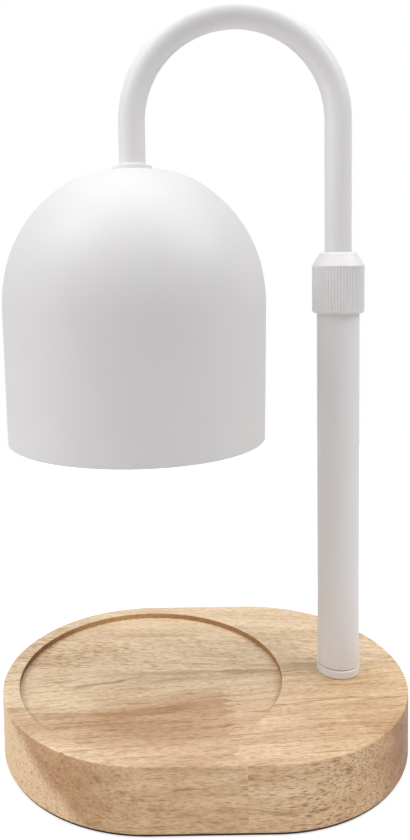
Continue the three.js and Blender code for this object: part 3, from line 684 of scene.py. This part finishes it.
# %% Timber: pores
# Dashes on a face along the grain, dots on one across it, and crowded beside the joint
beside_joint = times(oval(place, (52, -60), (46, 34), 0), on_right, upright_face)
cells = put("TexVoronoi", {"Vector": stretch(own_place, (0.17, 1.35, 1.35)), "Scale": 1.0}).outputs
reach = spread(beside_joint, 0, 1, 0.26, 0.38)
near_pore = spread(calculate("SUBTRACT", reach, cells["Distance"]), 0, 0.14)
chance = put("SeparateXYZ", {0: cells["Color"]}).outputs[0]
crowding = spread(grain(0.4, 0.08, 2), 0.42, 0.62, 0.3, 1.7)
crowd = times(crowding, per_stave(share, PORE_CROWD))
crowd = total(crowd, times(beside_joint, 0.62), times(left_crowd, 0.3))
pore = times(near_pore, calculate("LESS_THAN", chance, crowd))
pore_strength = spread(beside_joint, 0, 1, 0.36, 0.66)
tone = mix_colour(times(pore, pore_strength), tone, PORE_BROWN)
tell_nodes()

# %% Timber: end grain, recess wall and relief
# The round ends get a darker tint, the right one more. The recess's wall gets painted shade.
right_end = times(spread(facing_x, 0.58, 0.94), upright_face)
tone = darken(right_end, tone, RIGHT_END_TINT)
left_end = times(spread(facing_x, -0.05, -0.40), upright_face)
left_end = times(left_end, spread(in_wedge, 0, 1, 1, 0.35))
tone = darken(left_end, tone, LEFT_END_TINT)
# Upright faces get a slightly warmer tint: painted warm light, which warms the grey light bounced up from
# the floor
tone = darken(upright_face, tone, PAINTED_WARM_LIGHT_TINT)
ends = {0: stretch(place, (1, 1, 0)), 1: (-BOARD_STRAIGHT / 2, 0, 0)}
from_recess = put("VectorMath", ends, operation="DISTANCE").outputs["Value"]
# Painted shade: the recess's upright wall is darkened where shade falls
wall = spread(from_recess, RECESS_RADIUS + 0.3, RECESS_RADIUS + 0.6, 1, 0)
tone = darken(times(wall, upright_face), tone, RECESS_WALL_SHADE_TINT)

# The dull and shiny places and the relief come from the grain
link(tone, result["Colour"])
rough = total(sway(streaks, 0.46, 0.58), times(pore, 0.2))
link(rough, result["Roughness"])
relief_height = calculate("SUBTRACT", times(fibres, 0.25), pore)
emboss(result, relief_height, 0.3, 0.08)
timber = Bench.tree
tell_nodes()

# %% [markdown]
# ## Materials
# A material is one effect group that feeds one Principled shader. What changes over the surface
# comes out of the group, and what is the same everywhere is a plain value on the shader. White
# paint on steel is never pure white: it reflects about five sixths of the light, and its skin has
# the fine orange-peel relief that powder gets when it melts.

# %% Building a material
def coat(name, slot, group, *values, **plain):
    """A material from an effect group, the values of its sockets, and the shader's own values."""
    made = bpy.data.materials.new(name)
    open_tree(made)
    coordinates = put("TexCoord").outputs
    skin = put("Group", node_tree=group)
    link(coordinates["Object"], skin.inputs["Place"])
    if "Facing" in skin.inputs:
        link(coordinates["Normal"], skin.inputs["Facing"])
    for socket, value in zip(skin.inputs[1:], values):
        socket.default_value = srgb(*value) if socket.name == "Colour" else value
    shader = put("BsdfPrincipled", {label.replace("_", " "): v for label, v in plain.items()})
    for label, socket in zip(RESULTS, ("Base Color", "Roughness", "Normal")):
        link(skin.outputs[label], shader.inputs[socket])
    put("OutputMaterial", {"Surface": shader.outputs[0]})
    return made

# %% The lamp's finishes
# Colour, tone spread, roughness, roughness spread, grains per mm and relief
powder_coat = coat(
    "powder_coat", "white_powder_coat", fine_skin, (240, 238, 238), 0.008, 0.46, 0.05, 2.2, 0.22
)
# The lampshade's coat is a darker copy of the same white powder: painted shade, for the dimmer light on the
# lampshade's front.
lampshade_coat_painted_dim = coat(
    "lampshade_coat_painted_dim", "white_powder_coat", fine_skin, (229, 227, 227), 0.008, 0.46, 0.05, 2.0, 0.22
)
foam = coat("foam", "pad_foam", fine_skin, (52, 50, 48), 0.12, 0.93, 0.04, 3.0, 0.9)
black_rubber = coat("rubber", "black_rubber", fine_skin, (34, 34, 35), 0.10, 0.72, 0.08, 1.6, 0.4)
grey_plastic = coat(
    "grey_plastic", "grey_plastic", fine_skin, (141, 143, 146), 0.03, 0.55, 0.06, 1.8, 0.35
)
nylon = coat("nylon", "nylon", fine_skin, (233, 230, 220), 0.03, 0.48, 0.06, 1.2, 0.2)
ceramic = coat("ceramic", "white_ceramic", fine_skin, (240, 237, 230), 0.03, 0.38, 0.08, 1.0, 0.3)
silicone = coat("silicone", "silicone_sleeve", fine_skin, (228, 224, 214), 0.04, 0.62, 0.05, 1.5, 0.25)
mirror_coat = coat(
    "mirror_coat", "reflector_glass", fine_skin, (212, 215, 220), 0.05, 0.12, 0.04, 0.8, 0.1, Metallic=1.0
)
clear_glass = coat(
    "clear_glass", "clear_glass", fine_skin, (247, 250, 250), 0.01, 0.03, 0.02, 0.5, 0.03,
    Transmission_Weight=1.0, IOR=1.5,
)
# Colour, roughness, lines per mm and relief
zinc = coat("zinc", "zinc_steel", tool_lines, (186, 189, 194), 0.36, 6.0, 0.25, Metallic=1.0)
# A dark steel that paints shade into the groove at the post's foot
painted_groove_shade = coat("painted_shade_steel", "zinc_steel", tool_lines, (96, 93, 92), 0.5, 6.0, 0.2, Metallic=1.0)
brass = coat("brass", "brass", tool_lines, (201, 165, 90), 0.34, 6.0, 0.2, Metallic=1.0)
rubberwood = coat("rubberwood", "rubberwood", timber, Specular_IOR_Level=0.35)
print("materials:", len(bpy.data.materials))

# %% [markdown]
# ## The board
# The real board is a plank with a router run round its outline: two half turns and two straight
# sides. Spinning a single vertex draws each half turn with evenly spaced points, which a stretched
# circle would not. The plank is then extruded and its edges are eased. Every hole and the candle's
# recess is a Boolean cut, as the drill and the router make them. The recess gets its own smaller
# bevel last, because it is cut after the outer edge is eased.

# %% Drawing a board outline
POST_X = middle_x("lower_post")
SHADE_X = middle_x("shade")
board_low, board_high = corners_mm("wood_base")


def stadium(name, end_radius, bottom, top):
    """A plank with two round ends."""
    half = BOARD_STRAIGHT / 2

    def is_front_end(point):
        return abs(point.y + end_radius) < 0.1 and abs(abs(point.x) - half) < 0.1

    piece = first_point(name, half, -end_radius, bottom)
    spin(96, -HALF_TURN, half)
    extrude(x=-2 * half)
    spin(96, -HALF_TURN, -half)
    front_ends = pick(piece, "verts", is_front_end)
    bpy.ops.mesh.edge_face_add()
    select_all()
    bpy.ops.mesh.edge_face_add()
    select_all()
    extrude(z=top - bottom)
    select_all()
    bpy.ops.mesh.normals_make_consistent(inside=False)
    bpy.ops.object.mode_set(mode="OBJECT")
    print(name, "outline closed at", front_ends, "corners")
    return piece


def drill(piece, radius, bottom, top, x, y=0.0, sides=64, lying_at=None):
    """Cut a round hole. With lying_at it lies along X at that height, from bottom to top in x."""
    clear_hands()
    middle = (bottom + top) / 2
    place = (x, y, middle) if lying_at is None else (middle, y, lying_at)
    turn_over = (0, 0, 0) if lying_at is None else (0, math.pi / 2, 0)
    bpy.ops.mesh.primitive_cylinder_add(
        vertices=sides, radius=radius * MM, depth=(top - bottom) * MM,
        location=[c * MM for c in place], rotation=turn_over,
    )
    cut_away(piece, bpy.context.object)

# %% The board
RECESS_FLOOR = board_high.z - 2.8
OVERRUN = 1.0  # how far a cut goes past the face that it opens
STEM_HOLE = 5.2
POCKET_RADIUS = 20.0
POCKET_ROOF = 20.7
COVER_SEAT_RADIUS = 26.3
cover_low, cover_high = heights("pocket_cover")
screw_low, screw_high = heights("cover_screw_1")
SCREW_CIRCLE = 23.0
SCREW_HOLE = 1.45
OUTLET_HEIGHT = 12.0
OUTLET_RADIUS = 6.0
GROMMET_SEAT = 91.2
GROMMET_SEAT_RADIUS = 7.9
screw_places = []
for third in range(3):
    screw_angle = math.pi * (1 + 2 * third) / 3
    side, back = SCREW_CIRCLE * math.cos(screw_angle), SCREW_CIRCLE * math.sin(screw_angle)
    screw_places.append((POST_X + side, back))

board = stadium("board", board_high.y, board_low.z, board_high.z)
soften(board, 0.9, 4, above=60)
above, outside = board_high.z + OVERRUN, board_high.x + OVERRUN
drill(board, RECESS_RADIUS, RECESS_FLOOR, above, -BOARD_STRAIGHT / 2, sides=192)
drill(board, STEM_HOLE, 0, above, POST_X)
drill(board, POCKET_RADIUS, 0, POCKET_ROOF, POST_X, sides=96)
drill(board, COVER_SEAT_RADIUS, 0, cover_high, POST_X, sides=96)
for screw_x, screw_y in screw_places:
    drill(board, SCREW_HOLE, 0, screw_high + OVERRUN, screw_x, screw_y, sides=24)
drill(board, OUTLET_RADIUS, POST_X + POCKET_RADIUS / 2, outside, 0, lying_at=OUTLET_HEIGHT)
drill(board, GROMMET_SEAT_RADIUS, GROMMET_SEAT, outside, 0, lying_at=OUTLET_HEIGHT)


def on_recess_edge(height):
    def test(point):
        reach = math.hypot(point.x + BOARD_STRAIGHT / 2, point.y)
        return abs(reach - RECESS_RADIUS) < 0.05 and abs(point.z - height) < 0.02
    return test


hold(board, "EDIT")
for height, easing in ((board_high.z, 0.25), (RECESS_FLOOR, 0.3)):
    print("recess edges at", round(height, 1), "mm:", pick(board, "edges", on_recess_edge(height)))
    bpy.ops.mesh.bevel(offset=easing * MM, segments=3, affect="EDGES")
finish(board, "base", rubberwood, "wood_base")

# %% [markdown]
# ## Foam pad, pocket cover and screws
# A dark foam pad keeps the board from sliding, and its edge shows as a thin dark line at the
# bottom. A plastic cover closes the wiring pocket below the post. Its three screws are one screw,
# turned from an outline, cut with a cross and then copied.

# %% The pad and the cover
pad_low, pad_high = corners_mm("base_pad")
pad = stadium("foam_pad", pad_high.y, pad_low.z, pad_high.z)
drill(pad, COVER_SEAT_RADIUS, -OVERRUN, pad_high.z + OVERRUN, POST_X, sides=96)
soften(pad, 0.2, 2, above=60)
finish(pad, "base", foam, "base_pad")

COVER_RADIUS = 26.0
DISH_FLOOR = cover_low + 0.4
cover_outline = [
    (0, DISH_FLOOR), (POCKET_RADIUS - 1, DISH_FLOOR), (POCKET_RADIUS - 0.6, cover_low),
    *round_below(COVER_RADIUS, cover_low, 0.3), (COVER_RADIUS, cover_high), (0, cover_high),
]
cover = turn("cover_disc", cover_outline, POST_X)
for screw_x, screw_y in screw_places:
    drill(cover, SCREW_HOLE, cover_low - OVERRUN, cover_high + OVERRUN, screw_x, screw_y, sides=24)
finish(cover, "base", grey_plastic, "pocket_cover")

# %% The three screws
HEAD_RADIUS = 2.4
HEAD_ROUND = 0.6
SHANK_RADIUS = 1.3
THREAD_DEPTH = 0.25
THREAD_PITCH = 0.9
CROSS_LONG, CROSS_WIDE, CROSS_HEIGHT = 2.8, 0.55, 1.1


def threaded(radius, depth, bottom, top, pitch):
    """Points up the side of a thread, as a row of ridges: at this size a helix looks the same."""
    points = []
    height = bottom
    while height + pitch <= top:
        points += [(radius - depth, height), (radius, height + pitch * 0.4), (radius, height + pitch * 0.6)]
        height += pitch
    return points + [(radius - depth, height), (radius - depth, top)]


screw_outline = [
    (0, screw_low), *round_below(HEAD_RADIUS, screw_low, HEAD_ROUND),
    (HEAD_RADIUS, pad_high.z), (SHANK_RADIUS, pad_high.z),
    *threaded(SHANK_RADIUS, THREAD_DEPTH, pad_high.z + 0.8, screw_high - 1.6, THREAD_PITCH),
    (0, screw_high),
]
first_x, first_y = screw_places[0]
screw = turn("cover_screw_a", screw_outline, first_x, steps=36)
screw.location.y += first_y * MM
for width, depth in ((CROSS_LONG, CROSS_WIDE), (CROSS_WIDE, CROSS_LONG)):
    clear_hands()
    bpy.ops.mesh.primitive_cube_add(size=1, location=(first_x * MM, first_y * MM, screw_low * MM))
    blade = bpy.context.object
    blade.scale = (width * MM, depth * MM, CROSS_HEIGHT * MM)
    cut_away(screw, blade)
for letter, number, (screw_x, screw_y) in zip("bc", "23", screw_places[1:]):
    twin = new_object("cover_screw_" + letter, screw.data.copy())
    twin.location = screw.location + Vector((screw_x - first_x, screw_y - first_y, 0)) * MM
    finish(twin, "base", zinc, "cover_screw_" + number)
finish(screw, "base", zinc, "cover_screw_1")

# %% [markdown]
# ## Cord grommet
# The grommet is a rubber ring that is pushed into the outlet from outside. It is turned upright
# like everything else that is round, and then laid along X. Turning the object and applying the
# turn afterwards is simpler than drawing the outline sideways.

# %% The grommet
GROMMET_FACE = 92.7
GROMMET_INSIDE = 83.6
GROMMET_FLANGE = 7.6
GROMMET_BODY = 5.85
GROMMET_BORE = 3.4
grommet_outline = [
    (GROMMET_BORE + 0.3, GROMMET_INSIDE), (GROMMET_BODY - 0.25, GROMMET_INSIDE),
    (GROMMET_BODY, GROMMET_INSIDE + 0.4), (GROMMET_BODY, GROMMET_SEAT), (GROMMET_FLANGE, GROMMET_SEAT),
    *round_above(GROMMET_FLANGE, GROMMET_FACE, 0.7),
    *round_corner(GROMMET_BORE + 0.8, GROMMET_FACE - 0.8, 0.8, 90, 180),
    (GROMMET_BORE, GROMMET_INSIDE + 0.4),
]
grommet = settle(turn("grommet_ring", grommet_outline, 0, steps=72))
grommet.rotation_euler = (0, math.pi / 2, 0)
grommet.location.z = OUTLET_HEIGHT * MM
finish(grommet, "base", black_rubber, "cord_grommet")

# %% [markdown]
# ## Post and foot
# The post is a plain steel tube, so what makes it look real is at its ends: a low ring at the
# foot with a soft upper edge, and a narrow groove above the ring. The groove is the edge of the
# plug inside, a little narrower than the tube. The plug's dark steel is painted shade, which keeps
# the groove dark.

# %% Rings and tubes in general
def ring_outline(inner, outer, bottom, top, foot, head):
    """A ring or tube in section, with its outer edges rounded by two radii."""
    return [
        (inner, bottom), *round_below(outer, bottom, foot), *round_above(outer, top, head), (inner, top),
    ]

# %% Foot ring, plug and post
POST_RADIUS = 9.5
POST_BORE = 8.5
FOOT_RADIUS = 9.8
GROOVE_RADIUS = 8.9
PLUG_RADIUS = POST_BORE - 0.15
ring_low, ring_high = heights("foot_ring")
plug_low, plug_high = heights("post_foot_plug")
post_low, post_high = heights("lower_post")
foot_outline = ring_outline(STEM_HOLE, FOOT_RADIUS, ring_low, ring_high, 0.6, 0.5)
lathe("foot_ring_turned", foot_outline, POST_X, "base", powder_coat, "foot_ring", steps=128)
plug_outline = [
    (STEM_HOLE, plug_low), (GROOVE_RADIUS, plug_low), (GROOVE_RADIUS, post_low),
    (PLUG_RADIUS, post_low), (PLUG_RADIUS, plug_high - 0.5), (PLUG_RADIUS - 0.5, plug_high),
    (STEM_HOLE, plug_high),
]
# The plug's dark steel is painted shade for the groove above the foot ring
lathe("foot_plug", plug_outline, POST_X, "base", painted_groove_shade, "post_foot_plug")
post_outline = ring_outline(POST_BORE, POST_RADIUS, post_low, post_high, 0.2, 0.2)
lathe("post_tube", post_outline, POST_X, "base", powder_coat, "lower_post", steps=128)

# %% [markdown]
# ## Locking collar
# The collar is a nut that squeezes a split ring onto the hooked tube. Its fine upright ribs are
# made by moving vertices, not by modelling each rib: the collar is turned with six columns of
# points to a rib, and in the ribbed band one column of each six goes in by the full depth and its
# two neighbours by half. Scaling towards the axis works, because scale needs only a centre.

# %% Turning the collar
RIB_COUNT = 56
COLUMNS_PER_RIB = 6
RIB_DEPTH = 0.42
RIB_RUN_OUT = 0.5
COLLAR_RADIUS = 11.65
CONE_TILT = 31  # degrees: how far the cone's surface looks up
SHOULDER_RADIUS = 6.98  # where the shoulder's rounding is centred
SHOULDER_ROUND = 1.8
MOUTH_RADIUS = 9.8
collar_low, collar_high = heights("locking_collar")
KNURL_BOTTOM = collar_low + 1.5
KNURL_TOP = collar_low + 21.6
band_heights = (KNURL_BOTTOM + RIB_RUN_OUT, KNURL_TOP - 0.6 - RIB_RUN_OUT)
# From the top down: round the tube, round the split ring's cone, and round the post's bush
collar_hollow = [
    (6.4, collar_high), (6.3, collar_high - 0.1), (6.3, 218.3), (7.3, 218.3), (8.3, 214.2),
    (8.3, 204.3), (MOUTH_RADIUS, 204.3),
]
collar_outline = [
    (MOUTH_RADIUS, collar_low + 0.2), (MOUTH_RADIUS + 0.2, collar_low),
    *round_below(COLLAR_RADIUS, collar_low, 1.5, 8),
    *[(COLLAR_RADIUS, height) for height in (*band_heights, KNURL_TOP - 0.6)],
    *round_corner(COLLAR_RADIUS - 0.25, KNURL_TOP - 0.25, 0.25, 0, CONE_TILT, 3),
    *round_corner(SHOULDER_RADIUS, collar_high - SHOULDER_ROUND, SHOULDER_ROUND, CONE_TILT, 90, 6),
    *collar_hollow,
]
collar = turn("collar_nut", collar_outline, POST_X, steps=RIB_COUNT * COLUMNS_PER_RIB)

# %% Pressing in the grooves between the ribs
def in_rib_band(point):
    reach = math.hypot(point.x - POST_X, point.y)
    return reach > COLLAR_RADIUS - 0.01 and any(abs(point.z - z) < 0.01 for z in band_heights)


def column_of(point):
    share = math.atan2(point.y, point.x - POST_X) / (2 * math.pi)
    return round(share * RIB_COUNT * COLUMNS_PER_RIB) % COLUMNS_PER_RIB


hold(collar, "EDIT")
collar_axis = (POST_X * MM, 0, 0)
for columns, depth in (((0,), RIB_DEPTH), ((1, 5), RIB_DEPTH * 0.55)):
    moved = pick(collar, "verts", lambda p: in_rib_band(p) and column_of(p) in columns)
    narrower = 1 - depth / COLLAR_RADIUS
    bpy.ops.transform.resize(value=(narrower, narrower, 1), center_override=collar_axis)
    print("rib columns", columns, "points moved:", moved)
finish(collar, "collar", powder_coat, "locking_collar", smooth=math.radians(60))

# %% [markdown]
# ## Hooked tube
# A tube bender pulls a straight tube round a former. Here one circle is extruded up the straight
# leg, spun half a turn for the bend and extruded down the short leg. One open skin is made, and
# Solidify gives it its wall, so the bore follows the bend without a second model.

# %% The hooked tube
TUBE_RADIUS = 6.0
TUBE_WALL = 1.0
BEND_CENTRE = 284.2
TUBE_END = 266.0
tube_foot = heights("hook_tube")[0]
clear_hands()
bpy.ops.mesh.primitive_circle_add(
    vertices=72, radius=TUBE_RADIUS * MM, fill_type="NOTHING", location=(POST_X * MM, 0, tube_foot * MM)
)
hook = named("hook_pipe")
extrude(z=BEND_CENTRE - tube_foot)
spin(120, HALF_TURN, (POST_X + SHADE_X) / 2, BEND_CENTRE, axis=(0, 1, 0))
extrude(z=TUBE_END - BEND_CENTRE)
weld()
bpy.ops.mesh.normals_make_consistent(inside=False)
modify(hook, "SOLIDIFY", thickness=TUBE_WALL * MM, offset=-1)
soften(hook, 0.15, 2, above=60)
finish(hook, "hook", powder_coat, "hook_tube")

# %% [markdown]
# ## Shade, flange and nipple
# The shade is spun from sheet steel over a wooden former. Its outline is a little fuller than half
# a ball, with a small flat top where the nipple passes and a skirt that is nearly straight. The
# curve's two powers set that fullness. As with the tube, one skin is drawn and Solidify gives the
# wall, and a small bevel rounds the cut rim, which is the brightest line on the real one. The
# nipple's shoulder is a piece of its own, because it is painted and the thread isn't. It flares a
# little toward the flange, so that it catches the light from above as a thin bright ring.

# %% The shade
SHADE_RADIUS = 59.3
RIM_RADIUS = 58.4
SPRING_HEIGHT = 201.6  # where the skirt ends and the dome starts
CROWN_HEIGHT = 64.8
CROWN_POWERS = (1.105, 0.913)
SHADE_WALL = 1.2
SKIRT_STEPS = 6
shade_low, shade_high = heights("shade")


def crown_outline(last_share, steps):
    """Points on the dome from the spring line up, as far as a share of the way to the flat top."""
    flat_angle = math.asin(((shade_high - SPRING_HEIGHT) / CROWN_HEIGHT) ** (1 / CROWN_POWERS[1]))
    points = []
    for i in range(steps + 1):
        angle = flat_angle * last_share * i / steps
        reach = SHADE_RADIUS * math.cos(angle) ** CROWN_POWERS[0]
        points.append((reach, SPRING_HEIGHT + CROWN_HEIGHT * math.sin(angle) ** CROWN_POWERS[1]))
    return points


def blend_corner(start, corner, end, steps=10):
    """A soft corner: a curve that starts and ends along the two sides."""
    points = []
    for i in range(1, steps + 1):
        t = i / steps
        weights = ((1 - t) ** 2, 2 * t * (1 - t), t * t)
        points.append(tuple(sum(w * p[k] for w, p in zip(weights, (start, corner, end))) for k in (0, 1)))
    return points


widening, rise = SHADE_RADIUS - RIM_RADIUS, SPRING_HEIGHT - shade_low
skirt = [
    (RIM_RADIUS + widening * i / SKIRT_STEPS, shade_low + rise * i / SKIRT_STEPS)
    for i in range(SKIRT_STEPS)
]
dome = crown_outline(0.85, 60)
flat_corner = crown_outline(1.0, 1)[-1]
flat_start = (flat_corner[0] - (dome[-1][0] - flat_corner[0]), shade_high)
shade_outline = [*skirt, *dome, *blend_corner(dome[-1], flat_corner, flat_start), (STEM_HOLE, shade_high)]
shade = turn("shade_shell", shade_outline, SHADE_X, steps=192, closed=False)
modify(shade, "SOLIDIFY", thickness=SHADE_WALL * MM, offset=-1, use_even_offset=True)
soften(shade, 0.35, 3, above=50)
# The shade's darker coat is painted shade.
finish(shade, "hook", lampshade_coat_painted_dim, "shade")

# %% Flange and nipple
flange_low, flange_high = heights("shade_flange")
FLANGE_RADIUS = 8.9
FLANGE_TOP = flange_high + 0.3
flange_outline = ring_outline(STEM_HOLE, FLANGE_RADIUS, flange_low, FLANGE_TOP, 0.4, 0.3)
lathe("flange_disc", flange_outline, SHADE_X, "hook", powder_coat, "shade_flange")

nipple_low, nipple_high = heights("tube_nipple")
LEAD_BORE = 2.2
NIPPLE_RADIUS = 5.0
nipple_outline = [
    (LEAD_BORE, nipple_low), (NIPPLE_RADIUS - 0.5, nipple_low),
    *threaded(NIPPLE_RADIUS, 0.35, nipple_low + 0.4, flange_low - 0.2, 1.0),
    (NIPPLE_RADIUS, flange_low), (NIPPLE_RADIUS, TUBE_END), (NIPPLE_RADIUS - 0.15, TUBE_END),
    (NIPPLE_RADIUS - 0.15, nipple_high - 0.5), (NIPPLE_RADIUS - 0.65, nipple_high),
    (LEAD_BORE, nipple_high),
]
lathe("threaded_nipple", nipple_outline, SHADE_X, "hook", zinc, "tube_nipple")

SHOULDER_BORE = NIPPLE_RADIUS + 0.05
SHOULDER_FLARE = 0.4
shoulder_outline = [
    (SHOULDER_BORE, FLANGE_TOP), (TUBE_RADIUS + SHOULDER_FLARE, FLANGE_TOP), (TUBE_RADIUS, TUBE_END),
    (SHOULDER_BORE, TUBE_END),
]
lathe("nipple_shoulder", shoulder_outline, SHADE_X, "hook", powder_coat)

# %% [markdown]
# ## Machined and pressed parts
# The nut, washer, bracket, screws and lamp holder have the right shape in the CAD model, but a CAD
# mesh is loose triangles with knife-sharp edges, and no real part has those. So a copy of each is
# cleaned up: its corners are joined, its flat faces dissolved into single faces, and its edges
# broken by a small bevel, which is what catches the light.

# %% Cleaning up a copy of a CAD node
FLAT_WITHIN = math.radians(1.0)


def joined_copy(node, name):
    """A copy of a CAD node's mesh, open for editing, with its corners joined."""
    piece = new_object(name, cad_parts[node].data.copy())
    hold(piece, "EDIT")
    weld()
    return piece


def machined_copy(node, name, edge_mm, material, segments=2):
    """A cleaned copy of a CAD node that hangs on the hook."""
    piece = joined_copy(node, name)
    bpy.ops.mesh.dissolve_limited(angle_limit=FLAT_WITHIN)
    soften(piece, edge_mm, segments, above=45)
    finish(piece, "hook", material, node)


machined_copy("inner_washer", "shade_washer", 0.2, zinc)
machined_copy("shade_nut", "shade_hex_nut", 0.3, zinc)
machined_copy("holder_bracket", "holder_strap", 0.15, zinc)
machined_copy("lamp_holder", "holder_body", 0.3, ceramic)
machined_copy("holder_screw_front", "holder_screw_a", 0.1, zinc, 1)
machined_copy("holder_screw_rear", "holder_screw_b", 0.1, zinc, 1)

# %% [markdown]
# ## Bulb
# A spot bulb hangs in the shade and is seen only from below. Its reflector is pressed glass with
# a mirror coat, and the many small flat faces inside spread the light, so the bowl stays faceted
# on purpose while its outside is smooth. A clear front glass closes it.

# %% The reflector
BULB_RADIUS = 25.0
NECK_RADIUS = 10.5
GLASS_WALL = 1.4
BULB_LIP = 3.0
reflector_low, reflector_high = heights("bulb_reflector")
LIP_TOP = reflector_low + BULB_LIP
BOWL_HEIGHT = reflector_high - LIP_TOP


def bowl(inset, steps):
    points = []
    for i in range(steps + 1):
        angle = math.pi * i / (2 * steps)
        reach = NECK_RADIUS + (BULB_RADIUS - NECK_RADIUS) * math.cos(angle) - inset
        points.append((reach, LIP_TOP + BOWL_HEIGHT * math.sin(angle)))
    return points


def inside_the_bowl(point):
    reach = math.hypot(point.x - SHADE_X, point.y)
    share = min(1, max(0, (point.z - LIP_TOP) / BOWL_HEIGHT))
    outside = NECK_RADIUS + (BULB_RADIUS - NECK_RADIUS) * math.cos(math.asin(share))
    return point.z > LIP_TOP and reach < outside - GLASS_WALL * 0.6


inner_edge = BULB_RADIUS - GLASS_WALL
reflector_outline = [
    (inner_edge, reflector_low + 0.2), (inner_edge + 0.2, reflector_low),
    *round_below(BULB_RADIUS, reflector_low, 0.5), *bowl(0, 28), *reversed(bowl(GLASS_WALL, 9)),
]
reflector = lathe(
    "reflector_bowl", reflector_outline, SHADE_X, "bulb", mirror_coat, "bulb_reflector", steps=48
)
hold(reflector, "EDIT")
print("facets:", pick(reflector, "faces", inside_the_bowl))
bpy.ops.mesh.faces_shade_flat()
bpy.ops.object.mode_set(mode="OBJECT")

# %% Front glass, base, pins and capsule
LENS_RADIUS = 23.45
lens_low, lens_high = heights("bulb_front_glass")
lens_outline = [
    (0, lens_low), (LENS_RADIUS - 3, lens_low + 0.25), *round_below(LENS_RADIUS, lens_low + 0.2, 0.4),
    (LENS_RADIUS, lens_high - 0.3), (LENS_RADIUS - 0.3, lens_high), (0, lens_high - 0.2),
]
lathe("front_glass", lens_outline, SHADE_X, "bulb", clear_glass, "bulb_front_glass")

base_low, base_high = heights("bulb_base")
SPIGOT_RADIUS = 8.95
SEAT_RADIUS = 4.65
BASE_RADIUS = 11.5
SPIGOT_TOP = reflector_high
bulb_base_outline = [
    (0, SPIGOT_TOP), (SEAT_RADIUS, SPIGOT_TOP), (SEAT_RADIUS, base_low + 0.3),
    (SEAT_RADIUS + 0.3, base_low), (SPIGOT_RADIUS, base_low), (SPIGOT_RADIUS, SPIGOT_TOP),
    *round_below(BASE_RADIUS, SPIGOT_TOP, 0.5), *round_above(BASE_RADIUS, base_high, 0.8),
    (0, base_high),
]
lathe("bulb_socket_base", bulb_base_outline, SHADE_X, "bulb", ceramic, "bulb_base")

pin_low, pin_high = heights("bulb_pin_left")
PIN_NECK = 1.5
PIN_HEAD = 2.4
HEAD_START = pin_high - 3.4
pin_outline = [
    (0, pin_low), (PIN_NECK, pin_low), (PIN_NECK, HEAD_START), (PIN_HEAD - 0.3, HEAD_START),
    (PIN_HEAD, HEAD_START + 0.3), *round_above(PIN_HEAD, pin_high, 0.5), (0, pin_high),
]
for pin in ("bulb_pin_left", "bulb_pin_right"):
    lathe(pin + "_turned", pin_outline, middle_x(pin), "bulb", brass, pin, steps=36)

capsule_low, capsule_high = heights("bulb_capsule")
CAPSULE_RADIUS = 4.5
PINCH_RADIUS = CAPSULE_RADIUS - 0.4  # where the glass is pressed flat round the wires
capsule_outline = [
    *round_below(CAPSULE_RADIUS, capsule_low, CAPSULE_RADIUS, 12), (CAPSULE_RADIUS, capsule_high - 2.0),
    (PINCH_RADIUS, capsule_high - 1.2), (PINCH_RADIUS, capsule_high), (0, capsule_high),
]
lathe("glass_capsule", capsule_outline, SHADE_X, "bulb", clear_glass, "bulb_capsule", steps=48)

# %% [markdown]
# ## The slack lead
# The lead has spare length inside the post, so that the hook can slide.

# %% The slack lead
slack = joined_copy("lead_slack", "slack_lead")
bpy.ops.object.mode_set(mode="OBJECT")
bpy.ops.object.shade_smooth_by_angle(angle=math.radians(60))
slack.data.materials.clear()
slack.data.materials.append(silicone)
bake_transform(slack)
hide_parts("lead_slack")
print("slack lead:", len(slack.data.polygons), "faces")

# %% [markdown]
# ## CAD nodes that stay
# What is left is hidden inside the post and the pocket, and its CAD shape is right. Each of those
# nodes stays as it is and only gets its finish, through its own material slot.

# %% Finishes for the hidden nodes
STAYING_NODES = {
    zinc: ("base_stem", "base_washer", "base_lock_washer", "base_nut", "guide_retainer", "tube_end_plug"),
    brass: ("post_top_bush",),
    nylon: ("clamp_collet", "guide_bush"),
    silicone: ("lead_lower", "lead_upper", "lead_core_left", "lead_core_right"),
}
for material, nodes in STAYING_NODES.items():
    for node in nodes:
        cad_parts[node].material_slots[0].material = material
    print(material.name, nodes)
